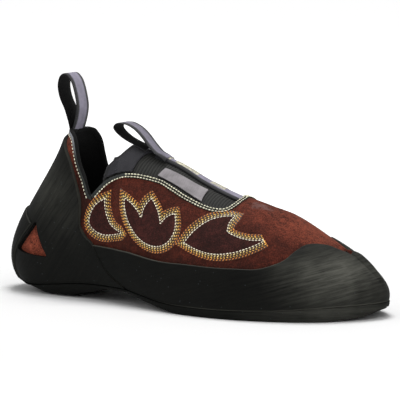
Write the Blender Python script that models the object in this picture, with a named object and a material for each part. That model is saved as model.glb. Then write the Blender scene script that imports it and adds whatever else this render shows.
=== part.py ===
"""Climbing slipper, right shoe, as an assembly of its pieces.

Metres, +X to the toe, +Y to the inner side of the foot, +Z up. The origin is the middle
of the heel's flat spot on the floor. Every curved piece is cut from one function, last(),
which turns a place round the shoe and a height up its side into a point.
"""
import bpy
import bmesh
import numpy as np

# Named sizes
LENGTH = 0.260
BALL_WIDTH = 0.092
HEEL_HEIGHT = 0.106
UPPER_WALL = 0.0018
GAP = 0.0003
RAND_GAP = 0.0006
RAND_THICK = 0.0018
CAP_THICK = 0.0014
ELASTIC_THICK = 0.0013
BAND_THICK = 0.0009
BAND_LIFT = 0.0003
LABEL_THICK = 0.0007
WEB_WIDTH = 0.016
WEB_THICK = 0.0011
SOLE_OUT = 0.0026
SOLE_LIP = 0.0032
SOLE_DISH = 0.0048
SOLE_THICK = 0.0042
INSOLE_IN = 0.0066
INSOLE_THICK = 0.0022
WINDOW_DEPTH = 0.0060
# Rows of facets lie closer together where the walls curve in to the sole
ROW_POWER = 1.3

# Posts round the shoe. Along is a share of LENGTH, across, flare and reach are shares of
# BALL_WIDTH, rise and drop are shares of HEEL_HEIGHT.
# name, along, across, flare, rise, reach, drop
LATERAL = [
    ("heel_back", -0.099, 0.000, 0.300, 0.20, 0.15, 0.36),
    ("heel_corner", -0.064, 0.190, 0.200, 0.17, 0.09, 0.36),
    ("heel_side", 0.020, 0.265, 0.085, 0.19, 0.06, 0.34),
    ("heel_front", 0.120, 0.285, 0.060, 0.17, 0.06, 0.31),
    ("waist", 0.223, 0.345, 0.060, 0.16, 0.25, 0.07),
    ("instep", 0.323, 0.420, 0.060, 0.16, 0.25, 0.03),
    ("ball_rear", 0.430, 0.485, 0.050, 0.17, 0.28, 0.00),
    ("ball", 0.540, 0.490, 0.050, 0.17, 0.32, 0.00),
    ("little_toe", 0.645, 0.420, 0.050, 0.17, 0.32, 0.00),
    ("fourth_toe", 0.738, 0.290, 0.050, 0.15, 0.29, 0.00),
    ("toe_corner", 0.813, 0.090, 0.040, 0.12, 0.28, 0.00),
    ("toe_tip", 0.853, -0.130, 0.030, 0.10, 0.26, 0.00),
]
MEDIAL = [
    ("heel_back", -0.099, 0.000, 0.300, 0.20, 0.15, 0.36),
    ("heel_corner", -0.064, 0.190, 0.200, 0.17, 0.09, 0.36),
    ("heel_side", 0.020, 0.265, 0.085, 0.19, 0.06, 0.34),
    ("heel_front", 0.122, 0.270, 0.060, 0.17, 0.06, 0.31),
    ("waist", 0.230, 0.275, 0.060, 0.16, 0.24, 0.08),
    ("instep", 0.337, 0.330, 0.060, 0.16, 0.23, 0.05),
    ("ball_rear", 0.446, 0.420, 0.050, 0.17, 0.26, 0.04),
    ("ball", 0.557, 0.465, 0.050, 0.17, 0.30, 0.045),
    ("big_joint", 0.658, 0.465, 0.040, 0.17, 0.30, 0.05),
    ("big_toe", 0.748, 0.425, 0.040, 0.15, 0.27, 0.05),
    ("toe_corner", 0.816, 0.310, 0.040, 0.12, 0.27, 0.03),
    ("toe_tip", 0.853, -0.130, 0.030, 0.10, 0.26, 0.00),
]

# Where the posts end above: the ankle ring as far as post FRONT, then the instep's ridge.
# post, along, half width, height, turn of the upper handle in degrees from sideways to toe
FRONT = 4
TOP = [
    (0, 0.022, 0.000, 1.000, -90),
    (1, 0.032, 0.120, 1.000, -50),
    (2, 0.060, 0.195, 0.986, -10),
    (3, 0.100, 0.235, 0.962, 0),
    (4, 0.165, 0.000, 0.955, 0),
    (5, 0.250, 0.000, 0.000, 0),
    (6, 0.338, 0.000, 0.000, 0),
    (7, 0.454, 0.000, 0.000, 0),
    (8, 0.558, 0.000, 0.000, 0),
    (9, 0.646, 0.000, 0.000, 18),
    (10, 0.704, 0.000, 0.000, 50),
    (11, 0.722, 0.000, 0.000, 90),
]
# along, across, height
RIDGE = [
    (0.160, 0.00, 0.955),
    (0.200, 0.00, 0.943),
    (0.240, 0.01, 0.920),
    (0.320, 0.03, 0.850),
    (0.400, 0.03, 0.758),
    (0.485, 0.03, 0.680),
    (0.560, 0.03, 0.625),
    (0.630, 0.04, 0.568),
    (0.685, 0.07, 0.495),
    (0.722, 0.10, 0.435),
]
# along, height of the sole's underside
UNDER = [
    (-0.110, 0.054),
    (-0.070, 0.040),
    (-0.040, 0.019),
    (-0.012, 0.000),
    (0.060, 0.000),
    (0.092, 0.019),
    (0.127, 0.038),
    (0.185, 0.072),
    (0.240, 0.072),
    (0.300, 0.042),
    (0.373, 0.011),
    (0.415, 0.000),
    (0.760, 0.000),
    (0.790, 0.010),
    (0.827, 0.024),
    (0.850, 0.050),
    (0.870, 0.075),
]
# along, height of the seam between rand and sole
SEAM = [
    (-0.100, 0.060),
    (-0.070, 0.052),
    (0.000, 0.070),
    (0.107, 0.098),
    (0.185, 0.103),
    (0.246, 0.100),
    (0.290, 0.083),
    (0.346, 0.060),
    (0.460, 0.050),
    (0.627, 0.060),
    (0.780, 0.092),
    (0.870, 0.115),
]
# along, how far the sole's lower edge is tucked in, as a share of BALL_WIDTH
TUCK = [
    (-0.100, 0.100),
    (0.100, 0.090),
    (0.250, 0.045),
    (0.400, 0.000),
    (0.750, 0.000),
    (0.860, 0.020),
]

# Outlines of the pieces on the last. Low and high are places in posts, t is the height up
# the post's curve, and bow shifts the middle of the column.
# low post, low t, high post, high t, bow
UPPER_EDGE = [
    (0.00, 0.0, 0.00, 1.000, 0.0),
    (0.70, 0.0, 0.70, 1.000, 0.0),
    (1.40, 0.0, 1.40, 0.998, 0.0),
    (1.95, 0.0, 2.02, 0.978, 0.0),
    (2.50, 0.0, 2.60, 0.872, 0.0),
    (2.95, 0.0, 3.06, 0.763, 0.0),
    (3.27, 0.0, 3.32, 0.640, 0.0),
    (3.45, 0.0, 3.48, 0.655, 0.0),
    (3.72, 0.0, 3.76, 0.680, 0.0),
    (4.05, 0.0, 4.10, 0.689, 0.0),
    (4.45, 0.0, 4.50, 0.709, 0.0),
    (4.90, 0.0, 4.95, 0.727, 0.0),
    (5.40, 0.0, 5.43, 0.733, 0.0),
    (5.85, 0.0, 5.87, 0.713, 0.0),
    (6.25, 0.0, 6.28, 0.697, 0.0),
    (6.70, 0.0, 6.76, 0.701, 0.0),
    (7.03, 0.0, 7.11, 0.739, 0.0),
    (7.30, 0.0, 7.30, 0.820, 0.0),
    (7.60, 0.0, 7.40, 0.925, 0.0),
    (7.90, 0.0, 7.44, 1.000, 0.0),
    (8.40, 0.0, 8.10, 1.000, 0.0),
    (9.00, 0.0, 8.80, 1.000, 0.0),
    (9.50, 0.0, 9.40, 1.000, 0.0),
    (10.00, 0.0, 9.95, 1.000, 0.0),
    (10.50, 0.0, 10.50, 1.000, 0.0),
    (11.00, 0.0, 11.00, 1.000, 0.0),
]
# The inner side's collar dips further back
UPPER_INNER_EDGE = UPPER_EDGE[:3] + [
    (1.80, 0.0, 1.84, 0.976, 0.0),
    (2.22, 0.0, 2.18, 0.862, 0.0),
    (2.66, 0.0, 2.50, 0.745, 0.0),
    (3.12, 0.0, 3.08, 0.640, 0.0),
] + UPPER_EDGE[7:]
TONGUE_EDGE = [
    (3.62, 0.620, 4.33, 1.0, -0.16),
    (4.00, 0.630, 4.60, 1.0, -0.10),
    (4.45, 0.650, 5.00, 1.0, -0.04),
    (5.00, 0.660, 5.45, 1.0, 0.0),
    (5.50, 0.660, 5.95, 1.0, 0.0),
    (6.10, 0.640, 6.50, 1.0, 0.0),
    (6.70, 0.645, 7.05, 1.0, 0.0),
    (7.15, 0.670, 7.42, 1.0, 0.0),
    (7.48, 0.760, 7.60, 1.0, 0.0),
]
STRAP_EDGE = [
    (5.16, 0.900, 5.16, 1.0, 0.0),
    (5.80, 0.900, 5.80, 1.0, 0.0),
    (6.50, 0.888, 6.50, 1.0, 0.0),
    (7.34, 0.880, 7.34, 1.0, 0.0),
]
LABEL_EDGE = [
    (5.32, 0.764, 5.51, 0.844, 0.0),
    (6.55, 0.726, 6.65, 0.858, 0.0),
]
HEEL_RAND_EDGE = [
    (0.00, 0.0, 0.00, 0.965, 0.0),
    (0.50, 0.0, 0.80, 0.940, 0.0),
    (1.00, 0.0, 1.50, 0.895, 0.0),
    (1.50, 0.0, 2.05, 0.845, 0.0),
    (2.00, 0.0, 2.55, 0.760, 0.0),
    (2.50, 0.0, 2.85, 0.660, 0.0),
    (2.90, 0.0, 2.90, 0.580, 0.0),
    (3.30, 0.0, 2.87, 0.500, 0.0),
    (3.60, 0.0, 3.10, 0.400, 0.0),
    (3.82, 0.0, 3.30, 0.345, 0.0),
    (3.98, 0.0, 3.57, 0.200, 0.0),
    (4.12, 0.0, 3.86, 0.085, 0.0),
    (4.24, 0.0, 4.18, 0.025, 0.0),
]
HEEL_RAND_INNER_EDGE = HEEL_RAND_EDGE[:3] + [
    (1.50, 0.0, 1.86, 0.835, 0.0),
    (2.00, 0.0, 2.20, 0.735, 0.0),
    (2.50, 0.0, 2.50, 0.640, 0.0),
    (2.90, 0.0, 2.70, 0.560, 0.0),
    (3.30, 0.0, 2.80, 0.490, 0.0),
] + HEEL_RAND_EDGE[8:]
HEEL_CAP_EDGE = [
    (0.00, 0.0, 0.00, 0.570, 0.0),
    (0.30, 0.0, 0.35, 0.560, -0.06),
    (0.58, 0.0, 0.74, 0.525, -0.15),
    (0.76, 0.0, 1.03, 0.480, -0.22),
]
# low post, high post, high t on the outer side, high t on the inner side, bow
TOE_RAND_EDGE = [
    (4.40, 3.37, 0.345, 0.345, -0.155),
    (4.60, 4.00, 0.315, 0.315, -0.08),
    (4.90, 4.59, 0.299, 0.300, -0.03),
    (5.30, 5.11, 0.291, 0.295, 0.0),
    (5.90, 5.81, 0.297, 0.300, 0.0),
    (6.65, 6.65, 0.316, 0.315, 0.0),
    (7.35, 7.32, 0.333, 0.330, 0.0),
    (7.80, 7.77, 0.342, 0.365, 0.0),
    (8.20, 8.15, 0.391, 0.440, 0.0),
    (8.55, 8.48, 0.459, 0.540, 0.0),
    (8.90, 8.81, 0.573, 0.680, 0.0),
    (9.15, 9.07, 0.669, 0.770, 0.0),
    (9.50, 9.47, 0.785, 0.860, 0.0),
    (9.95, 9.93, 0.845, 0.872, 0.0),
    (10.50, 10.50, 0.838, 0.842, 0.0),
    (11.00, 11.00, 0.780, 0.780, 0.0),
]
# Corners of the window in the heel rand: post, t
WINDOW = [(1.17, 0.488), (0.74, 0.297), (1.85, 0.243)]

# Middle lines of the two pull loops. along, height
HEEL_LOOP = [
    (0.013, 0.972),
    (0.020, 1.015),
    (0.021, 1.061),
    (0.009, 1.138),
    (-0.005, 1.208),
    (-0.011, 1.279),
    (-0.008, 1.322),
    (-0.002, 1.346),
    (0.007, 1.354),
    (0.016, 1.345),
    (0.028, 1.306),
    (0.038, 1.229),
    (0.043, 1.153),
    (0.041, 1.064),
    (0.0405, 1.020),
    (0.038, 0.980),
    (0.033, 0.930),
]
FRONT_LOOP = [
    (0.236, 0.9225),
    (0.222, 0.932),
    (0.207, 0.943),
    (0.190, 0.958),
    (0.169, 0.984),
    (0.152, 1.015),
    (0.145, 1.041),
    (0.152, 1.063),
    (0.172, 1.067),
    (0.198, 1.044),
    (0.220, 1.001),
    (0.241, 0.949),
    (0.259, 0.905),
]

# name: colour, roughness
MATERIALS = {
    "suede": ((0.150, 0.032, 0.018), 0.95),
    "rubber": ((0.014, 0.014, 0.014), 0.70),
    "elastic": ((0.040, 0.041, 0.044), 0.90),
    "webbing": ((0.260, 0.240, 0.320), 0.85),
    "label": ((0.300, 0.280, 0.290), 0.80),
    "board": ((0.090, 0.080, 0.070), 0.90),
}


def smooth(table, column, place):
    """Cubic through a table's rows, flat where the rows turn back."""
    xs = np.array([row[0] for row in table], float)
    ys = np.array([row[column] for row in table], float)
    steps = np.diff(xs)
    rates = np.diff(ys) / steps
    inner = (rates[1:] * steps[:-1] + rates[:-1] * steps[1:]) / (steps[1:] + steps[:-1])
    inner = np.where(rates[1:] * rates[:-1] <= 0, 0, inner)
    slopes = np.concatenate([[rates[0]], inner, [rates[-1]]])
    place = np.asarray(place, float)
    i = np.clip(np.searchsorted(xs, place, side="right") - 1, 0, len(xs) - 2)
    h = steps[i]
    t = np.clip((place - xs[i]) / h, 0, 1)
    start = ys[i] * (1 + 2 * t) + h * slopes[i] * t
    end = ys[i + 1] * (3 - 2 * t) + h * slopes[i + 1] * (t - 1)
    return start * (1 - t) ** 2 + end * t * t


LATERAL_POSTS = [(row[1], -row[2]) + row[3:] for row in LATERAL]
MEDIAL_POSTS = [row[1:] for row in MEDIAL[1:-1]]
POSTS = np.array(LATERAL_POSTS + MEDIAL_POSTS[::-1])
ROUND = len(POSTS)
TOE = len(LATERAL) - 1
TURNING = 4 * np.eye(ROUND) + np.roll(np.eye(ROUND), 1, 1) + np.roll(np.eye(ROUND), -1, 1)
POST_SLOPES = np.linalg.solve(TURNING, 3 * (np.roll(POSTS, -1, 0) - np.roll(POSTS, 1, 0)))


def post(column, s):
    """Smooth closed curve through one column of the posts."""
    s = np.mod(s, ROUND)
    i = np.floor(s).astype(int) % ROUND
    j = (i + 1) % ROUND
    t = s - np.floor(s)
    start = POSTS[i, column] * (1 + 2 * t) + POST_SLOPES[i, column] * t
    end = POSTS[j, column] * (3 - 2 * t) + POST_SLOPES[j, column] * (t - 1)
    return start * (1 - t) ** 2 + end * t * t


def foot(s):
    """Point on the seam above the sole, and the level direction out of the shoe there."""
    x = post(0, s) * LENGTH
    y = post(1, s) * BALL_WIDTH
    z = smooth(SEAM, 1, x / LENGTH) * HEEL_HEIGHT
    step = 0.001
    dx = (post(0, s + step) - post(0, s - step)) * LENGTH
    dy = (post(1, s + step) - post(1, s - step)) * BALL_WIDTH
    size = np.hypot(dx, dy)
    return np.stack([x, y, z], -1), np.stack([dy / size, -dx / size, 0 * x], -1)


def ridge(along):
    """Point on the instep's ridge."""
    y = smooth(RIDGE, 1, along) * BALL_WIDTH
    z = smooth(RIDGE, 2, along) * HEEL_HEIGHT
    return np.stack([along * LENGTH, y, z], -1)


def top(s):
    """Upper end of the post's curve, and the level direction of its handle."""
    s = np.mod(s, ROUND)
    side = np.where(s <= TOE, -1.0, 1.0)
    c = np.where(s <= TOE, s, ROUND - s)
    along = smooth(TOP, 1, c)
    half = smooth(TOP[:FRONT + 1], 2, c) * BALL_WIDTH
    level = smooth(TOP[:FRONT + 1], 3, c) * HEEL_HEIGHT
    ring = np.stack([along * LENGTH, side * half, level], -1)
    end = np.where((c < FRONT)[..., None], ring, ridge(along))
    slope = (ridge(along + 0.002) - ridge(along - 0.002))[..., 2] / (0.004 * LENGTH)
    turn = np.radians(smooth(TOP, 4, c))
    ease = np.clip((c - 7) / 1.5, 0, 1)
    ease = ease * ease * (3 - 2 * ease)
    way = np.stack([np.sin(turn), side * np.cos(turn), ease * slope * np.sin(turn)], -1)
    return end, way


def skin(s, t):
    """The last's surface: a cubic from the seam to the ring or ridge."""
    low, out = foot(s)
    high, way = top(s)
    up = np.array([0.0, 0.0, HEEL_HEIGHT])
    flare = (post(2, s) * BALL_WIDTH)[..., None]
    reach = (post(4, s) * BALL_WIDTH)[..., None]
    first = low + flare * out + post(3, s)[..., None] * up
    second = high + reach * way - post(5, s)[..., None] * up
    t = t[..., None]
    near = (1 - t) ** 3 * low + 3 * (1 - t) ** 2 * t * first
    return near + 3 * (1 - t) * t ** 2 * second + t ** 3 * high


def last(s, t, offset):
    """Point at an offset out of the last's surface; level at the seam."""
    step = 0.001
    below = np.minimum(t, 0.99)
    along = skin(s + step, below) - skin(s - step, below)
    up = skin(s, below + step) - skin(s, np.maximum(below - step, 0))
    out = np.cross(along, up)
    ease = np.clip(t / 0.12, 0, 1)
    out[..., 2] *= ease * ease * (3 - 2 * ease)
    out /= np.linalg.norm(out, axis=-1, keepdims=True)
    return skin(s, t) + offset * out


def wrap(s, t, offset):
    """last(), with both halves made to meet along the ridge."""
    here = last(s, t, offset)
    there = last(ROUND - s, t, offset)
    c = np.where(np.mod(s, ROUND) <= TOE, np.mod(s, ROUND), ROUND - np.mod(s, ROUND))
    meet = (t > 0.9999) & (c >= FRONT - 0.0001)
    return np.where(meet[..., None], (here + there) / 2, here)


def lay(edge, steps, rows, power=1.0):
    """Grid of posts and heights between an outline's low and high curves."""
    numbered = [(i,) + tuple(row) for i, row in enumerate(edge)]
    u = np.linspace(0, len(edge) - 1, steps + 1)[:, None]
    f = np.linspace(0, 1, rows + 1)[None, :] ** power
    value = [smooth(numbered, k, u) for k in range(1, 6)]
    c = value[0] + (value[2] - value[0]) * f + value[4] * 4 * f * (1 - f)
    t = value[1] + (value[3] - value[1]) * f
    return c, t


def both_sides(c, t, inner_t=None):
    """The same outline on the outer and on the inner side of the shoe."""
    return [(c, t), (ROUND - c, t if inner_t is None else inner_t)]


def collection(name):
    made = bpy.data.collections.new(name)
    bpy.context.scene.collection.children.link(made)
    return made


def material(name):
    found = bpy.data.materials.get(name)
    if found:
        return found
    colour, roughness = MATERIALS[name]
    made = bpy.data.materials.new(name)
    made.use_nodes = True
    shader = made.node_tree.nodes["Principled BSDF"]
    shader.inputs["Base Color"].default_value = colour + (1.0,)
    shader.inputs["Roughness"].default_value = roughness
    return made


def add_object(name, points, faces, kind, group):
    """Closed mesh object with its faces turned outward."""
    mesh = bpy.data.meshes.new(name)
    mesh.from_pydata([tuple(map(float, p)) for p in points], [], faces)
    work = bmesh.new()
    work.from_mesh(mesh)
    bmesh.ops.remove_doubles(work, verts=work.verts, dist=0.000002)
    bmesh.ops.dissolve_degenerate(work, dist=0.000002, edges=work.edges)
    loose = [v for v in work.verts if not v.link_faces]
    bmesh.ops.delete(work, geom=loose, context="VERTS")
    bmesh.ops.recalc_face_normals(work, faces=work.faces)
    work.to_mesh(mesh)
    work.free()
    made = bpy.data.objects.new(name, mesh)
    made.data.materials.append(material(kind))
    group.objects.link(made)
    return made


def shell(name, patches, inner, outer, kind, group):
    """Solid between two offsets of the last over one or more grids."""
    inside = []
    outside = []
    index = {}
    faces = []
    for s, t in patches:
        a = wrap(s, t, outer)
        b = wrap(s, t, inner)
        ids = np.zeros(s.shape, int)
        for i in range(s.shape[0]):
            for j in range(s.shape[1]):
                place = s[i, j] % ROUND
                if t[i, j] > 0.9999 and place > TOE and ROUND - place >= FRONT - 0.0001:
                    place = ROUND - place
                key = (round(place, 5) % ROUND, round(t[i, j], 5))
                if key not in index:
                    index[key] = len(outside)
                    outside.append(a[i, j])
                    inside.append(b[i, j])
                ids[i, j] = index[key]
        for i in range(s.shape[0] - 1):
            for j in range(s.shape[1] - 1):
                quad = [ids[i, j], ids[i + 1, j], ids[i + 1, j + 1], ids[i, j + 1]]
                if s[-1, 0] < s[0, 0]:
                    quad.reverse()
                faces.append([q for k, q in enumerate(quad) if q != quad[k - 1]])
    count = len(outside)
    edges = {}
    for face in faces:
        for k, q in enumerate(face):
            edges[(face[k - 1], q)] = True
    rim = [(a, b) for a, b in edges if (b, a) not in edges]
    solid = [list(map(int, face)) for face in faces]
    solid += [[int(q) + count for q in reversed(face)] for face in faces]
    solid += [[int(b), int(a), int(a) + count, int(b) + count] for a, b in rim]
    return add_object(name, outside + inside, solid, kind, group)


def outline(c, inset, height):
    """Points of one side pair of the seam line, moved inward, at heights from a table."""
    sides = []
    for s in (c, ROUND - c):
        point, out = foot(s)
        moved = point - inset[..., None] * out
        moved[..., 2] = height(moved[..., 0])
        sides.append(moved)
    return sides


def under(x):
    return smooth(UNDER, 1, x / LENGTH) * HEEL_HEIGHT


def lip(x):
    return smooth(SEAM, 1, x / LENGTH) * HEEL_HEIGHT - GAP


def floor(x):
    return np.minimum(under(x) + SOLE_THICK, lip(x))


def slab(name, rings, low, high, kind, group):
    """Solid from rings of side pairs, closed below and above by strips across."""
    count = 6
    points = []
    faces = []
    rows = []
    for lateral, medial in rings:
        loop = np.concatenate([lateral, medial[-2:0:-1]])
        rows.append(list(range(len(points), len(points) + len(loop))))
        points.extend(loop)
    size = len(rows[0])
    for a, b in zip(rows[:-1], rows[1:]):
        for k in range(size):
            n = (k + 1) % size
            faces.append([a[k], a[n], b[n], b[k]])
    for (lateral, medial), ring, height in ((rings[0], rows[0], low), (rings[-1], rows[-1], high)):
        total = len(lateral)
        grid = []
        for i in range(total):
            left = ring[i]
            right = ring[(size - i) % size]
            line = [left]
            if left != right:
                for k in range(1, count):
                    mix = lateral[i] + (medial[i] - lateral[i]) * k / count
                    mix[2] = height(mix[0])
                    line.append(len(points))
                    points.append(mix)
            else:
                line += [left] * (count - 1)
            grid.append(line + [right])
        for i in range(total - 1):
            for k in range(count):
                quad = [grid[i][k], grid[i + 1][k], grid[i + 1][k + 1], grid[i][k + 1]]
                quad = [q for m, q in enumerate(quad) if q != quad[m - 1]]
                if len(quad) > 2:
                    faces.append(quad)
    return add_object(name, points, faces, kind, group)


def outsole(group):
    """Cupped rubber sole: flat heel and ball, arch, toe spring, lip under the upper."""
    c = np.linspace(0, TOE, 3 * TOE + 1)
    one = np.ones_like(c)
    start, _ = foot(c)
    tuck = smooth(TUCK, 1, start[:, 0] / LENGTH) * BALL_WIDTH
    rings = []
    for share, drop in ((1.0, 1.0), (0.45, 0.86), (0.12, 0.5), (0.0, 0.0)):
        def height(x, drop=drop):
            return lip(x) + (under(x) - lip(x)) * drop
        rings.append(outline(c, tuck * share - SOLE_OUT, height))
    rings.append(outline(c, one * SOLE_LIP, lip))
    rings.append(outline(c, one * SOLE_DISH, floor))
    return slab("outsole", rings, under, floor, "rubber", group)


def insole(group):
    """Thin footbed lying in the sole's dish."""
    c = np.linspace(0, TOE, 3 * TOE + 1)
    one = np.ones_like(c)

    def low(x):
        return floor(x) + GAP

    def high(x):
        return floor(x) + GAP + INSOLE_THICK

    rings = [outline(c, one * INSOLE_IN, low), outline(c, one * INSOLE_IN, high)]
    return slab("insole", rings, low, high, "board", group)


def ribbon(name, line, across, steps, group):
    """Flat webbing bent along a line in the upright plane."""
    numbered = [(i,) + tuple(row) for i, row in enumerate(line)]
    u = np.linspace(0, len(line) - 1, steps + 1)
    x = smooth(numbered, 1, u) * LENGTH
    z = smooth(numbered, 2, u) * HEEL_HEIGHT
    dx = np.gradient(x)
    dz = np.gradient(z)
    size = np.hypot(dx, dz)
    half = WEB_THICK / 2
    points = []
    for side in (-1, 1):
        for sign in (-1, 1):
            for k in range(steps + 1):
                shift = sign * half / size[k]
                y = across + side * WEB_WIDTH / 2
                points.append((x[k] - dz[k] * shift, y, z[k] + dx[k] * shift))
    n = steps + 1
    order = [0, 1, 3, 2]
    faces = [[q * n for q in order], [q * n + steps for q in reversed(order)]]
    for a, b in zip(order, order[1:] + order[:1]):
        for k in range(steps):
            faces.append([a * n + k, a * n + k + 1, b * n + k + 1, b * n + k])
    return add_object(name, points, faces, "webbing", group)


def cut_window(target, mirror, cutters):
    """Three-cornered opening through the heel rand, down to the upper."""
    s = np.array([c for c, _ in WINDOW])
    s = ROUND - s if mirror else s
    t = np.array([h for _, h in WINDOW])
    low = last(s, t, -WINDOW_DEPTH)
    high = last(s, t, WINDOW_DEPTH + RAND_THICK)
    faces = [[0, 1, 2], [5, 4, 3], [0, 3, 4, 1], [1, 4, 5, 2], [2, 5, 3, 0]]
    side = "inner" if mirror else "outer"
    cutter = add_object("window_cutter_" + side, list(low) + list(high), faces, "rubber", cutters)
    cutter.hide_render = True
    cutter.display_type = "WIRE"
    cut = target.modifiers.new("window_" + side, "BOOLEAN")
    cut.operation = "DIFFERENCE"
    cut.solver = "EXACT"
    cut.object = cutter


def build():
    for item in list(bpy.data.objects):
        bpy.data.objects.remove(item, do_unlink=True)
    group = collection("climbing_slipper")
    cutters = collection("cutters")

    outsole(group)
    insole(group)

    c, t = lay(UPPER_EDGE, 50, 12, ROW_POWER)
    inner_c, inner_t = lay(UPPER_INNER_EDGE, 50, 12, ROW_POWER)
    patches = [(c, t), (ROUND - inner_c, inner_t)]
    shell("upper", patches, -UPPER_WALL, 0.0, "suede", group)

    outer_edge = [(low, 0.0, high, lateral, bow) for low, high, lateral, _, bow in TOE_RAND_EDGE]
    inner_edge = [(low, 0.0, high, medial, bow) for low, high, _, medial, bow in TOE_RAND_EDGE]
    c, t = lay(outer_edge, 30, 5)
    inner_c, inner_t = lay(inner_edge, 30, 5)
    patches = [(c, t), (ROUND - inner_c, inner_t)]
    shell("toe_rand", patches, RAND_GAP, RAND_GAP + RAND_THICK, "rubber", group)

    c, t = lay(HEEL_RAND_EDGE, 36, 11, ROW_POWER)
    inner_c, inner_t = lay(HEEL_RAND_INNER_EDGE, 36, 11, ROW_POWER)
    patches = [(c, t), (ROUND - inner_c, inner_t)]
    rand = shell("heel_rand", patches, RAND_GAP, RAND_GAP + RAND_THICK, "rubber", group)
    cut_window(rand, False, cutters)
    cut_window(rand, True, cutters)

    base = 2 * RAND_GAP + RAND_THICK
    c, t = lay(HEEL_CAP_EDGE, 6, 7)
    shell("heel_cap", both_sides(c, t), base, base + CAP_THICK, "rubber", group)

    under_upper = -UPPER_WALL - RAND_GAP
    c, t = lay(TONGUE_EDGE, 24, 9)
    shell("tongue", both_sides(c, t), under_upper - ELASTIC_THICK, under_upper, "elastic", group)

    on_tongue = under_upper + GAP
    rear = both_sides(c[:7, 2:], t[:7, 2:])
    lift = on_tongue + BAND_LIFT
    shell("tongue_band", rear, lift, lift + BAND_THICK, "webbing", group)

    c, t = lay(STRAP_EDGE, 9, 3)
    shell("instep_strap", both_sides(c, t), on_tongue, on_tongue + WEB_THICK, "webbing", group)

    c, t = lay(LABEL_EDGE, 5, 3)
    shell("side_label", [(c, t)], on_tongue, on_tongue + LABEL_THICK, "label", group)

    ribbon("heel_pull_loop", HEEL_LOOP, 0.0, 40, group)
    ribbon("front_pull_loop", FRONT_LOOP, 0.01 * BALL_WIDTH, 36, group)


build()
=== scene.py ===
"""Right climbing slipper: suede, rubber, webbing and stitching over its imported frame.

Metres, +X to the toe, +Y to the inner side of the foot, +Z up. A place on the shoe is a
post number round it and a height from 0 at the sole's seam to 1 at the ankle or ridge.
"""

import math

import bmesh
import bpy
import numpy as np
from mathutils import Matrix, Vector
from mathutils.geometry import delaunay_2d_cdt


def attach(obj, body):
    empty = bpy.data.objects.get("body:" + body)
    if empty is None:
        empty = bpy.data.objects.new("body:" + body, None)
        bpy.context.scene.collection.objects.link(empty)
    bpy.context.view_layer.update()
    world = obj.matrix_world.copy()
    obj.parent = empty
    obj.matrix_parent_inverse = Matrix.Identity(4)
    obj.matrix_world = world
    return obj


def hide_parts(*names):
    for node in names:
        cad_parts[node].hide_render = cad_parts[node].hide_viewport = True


bl_info = {
    "name": "Climbing slipper",
    "version": (1, 0, 0),
    "blender": (4, 5, 0),
    "location": "3D View > Sidebar > Slipper",
    "description": "Builds the suede, rubber and webbing of a climbing slipper",
    "category": "Object",
}

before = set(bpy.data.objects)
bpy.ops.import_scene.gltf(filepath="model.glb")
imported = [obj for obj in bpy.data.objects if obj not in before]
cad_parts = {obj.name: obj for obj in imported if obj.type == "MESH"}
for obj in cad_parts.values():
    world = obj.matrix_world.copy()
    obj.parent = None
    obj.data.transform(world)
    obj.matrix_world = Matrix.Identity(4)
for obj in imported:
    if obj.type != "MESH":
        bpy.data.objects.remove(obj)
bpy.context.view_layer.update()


# The last: the posts, ridge and seam of the solids, fitted closer to the foot's outline
LENGTH = 0.260
BALL_WIDTH = 0.092
HEEL_HEIGHT = 0.106
UPPER_WALL = 0.0018
WEB_WIDTH = 0.016
WEB_THICK = 0.0011
SOLE_OUT = 0.0026
SOLE_LIP = 0.0032
SOLE_DISH = 0.0048
SOLE_THICK = 0.0042
INSOLE_IN = 0.0066
INSOLE_THICK = 0.0022
GAP = 0.0003
FRONT = 4
# How far the dressed pieces' faces stand out from the last
RAND_BACK = -0.0001
TOE_RAND_FACE = 0.0021
HEEL_RAND_FACE = 0.0027
HEEL_CAP_BACK = 0.0022
HEEL_CAP_FACE = 0.0040
TONGUE_FACE = -UPPER_WALL - 0.0006

# along, across, flare, rise, reach, drop
LATERAL = [
    (-0.099, 0.000, 0.300, 0.20, 0.15, 0.36),
    (-0.064, 0.190, 0.200, 0.17, 0.09, 0.36),
    (0.020, 0.265, 0.085, 0.19, 0.06, 0.34),
    (0.120, 0.285, 0.060, 0.17, 0.06, 0.31),
    (0.223, 0.345, 0.060, 0.16, 0.25, 0.07),
    (0.323, 0.420, 0.060, 0.16, 0.25, 0.03),
    (0.430, 0.485, 0.050, 0.17, 0.28, 0.00),
    (0.540, 0.490, 0.050, 0.17, 0.32, 0.00),
    (0.645, 0.420, 0.050, 0.17, 0.32, 0.00),
    (0.738, 0.290, 0.050, 0.15, 0.29, 0.00),
    (0.813, 0.090, 0.040, 0.12, 0.28, 0.00),
    (0.853, -0.130, 0.030, 0.10, 0.26, 0.00),
]
MEDIAL = [
    (-0.064, 0.190, 0.200, 0.17, 0.09, 0.36),
    (0.020, 0.265, 0.085, 0.19, 0.06, 0.34),
    (0.122, 0.270, 0.060, 0.17, 0.06, 0.31),
    (0.230, 0.275, 0.060, 0.16, 0.24, 0.08),
    (0.337, 0.330, 0.060, 0.16, 0.23, 0.05),
    (0.446, 0.420, 0.050, 0.17, 0.26, 0.04),
    (0.557, 0.465, 0.050, 0.17, 0.30, 0.045),
    (0.658, 0.465, 0.040, 0.17, 0.30, 0.05),
    (0.748, 0.425, 0.040, 0.15, 0.27, 0.05),
    (0.816, 0.310, 0.040, 0.12, 0.27, 0.03),
]
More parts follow.
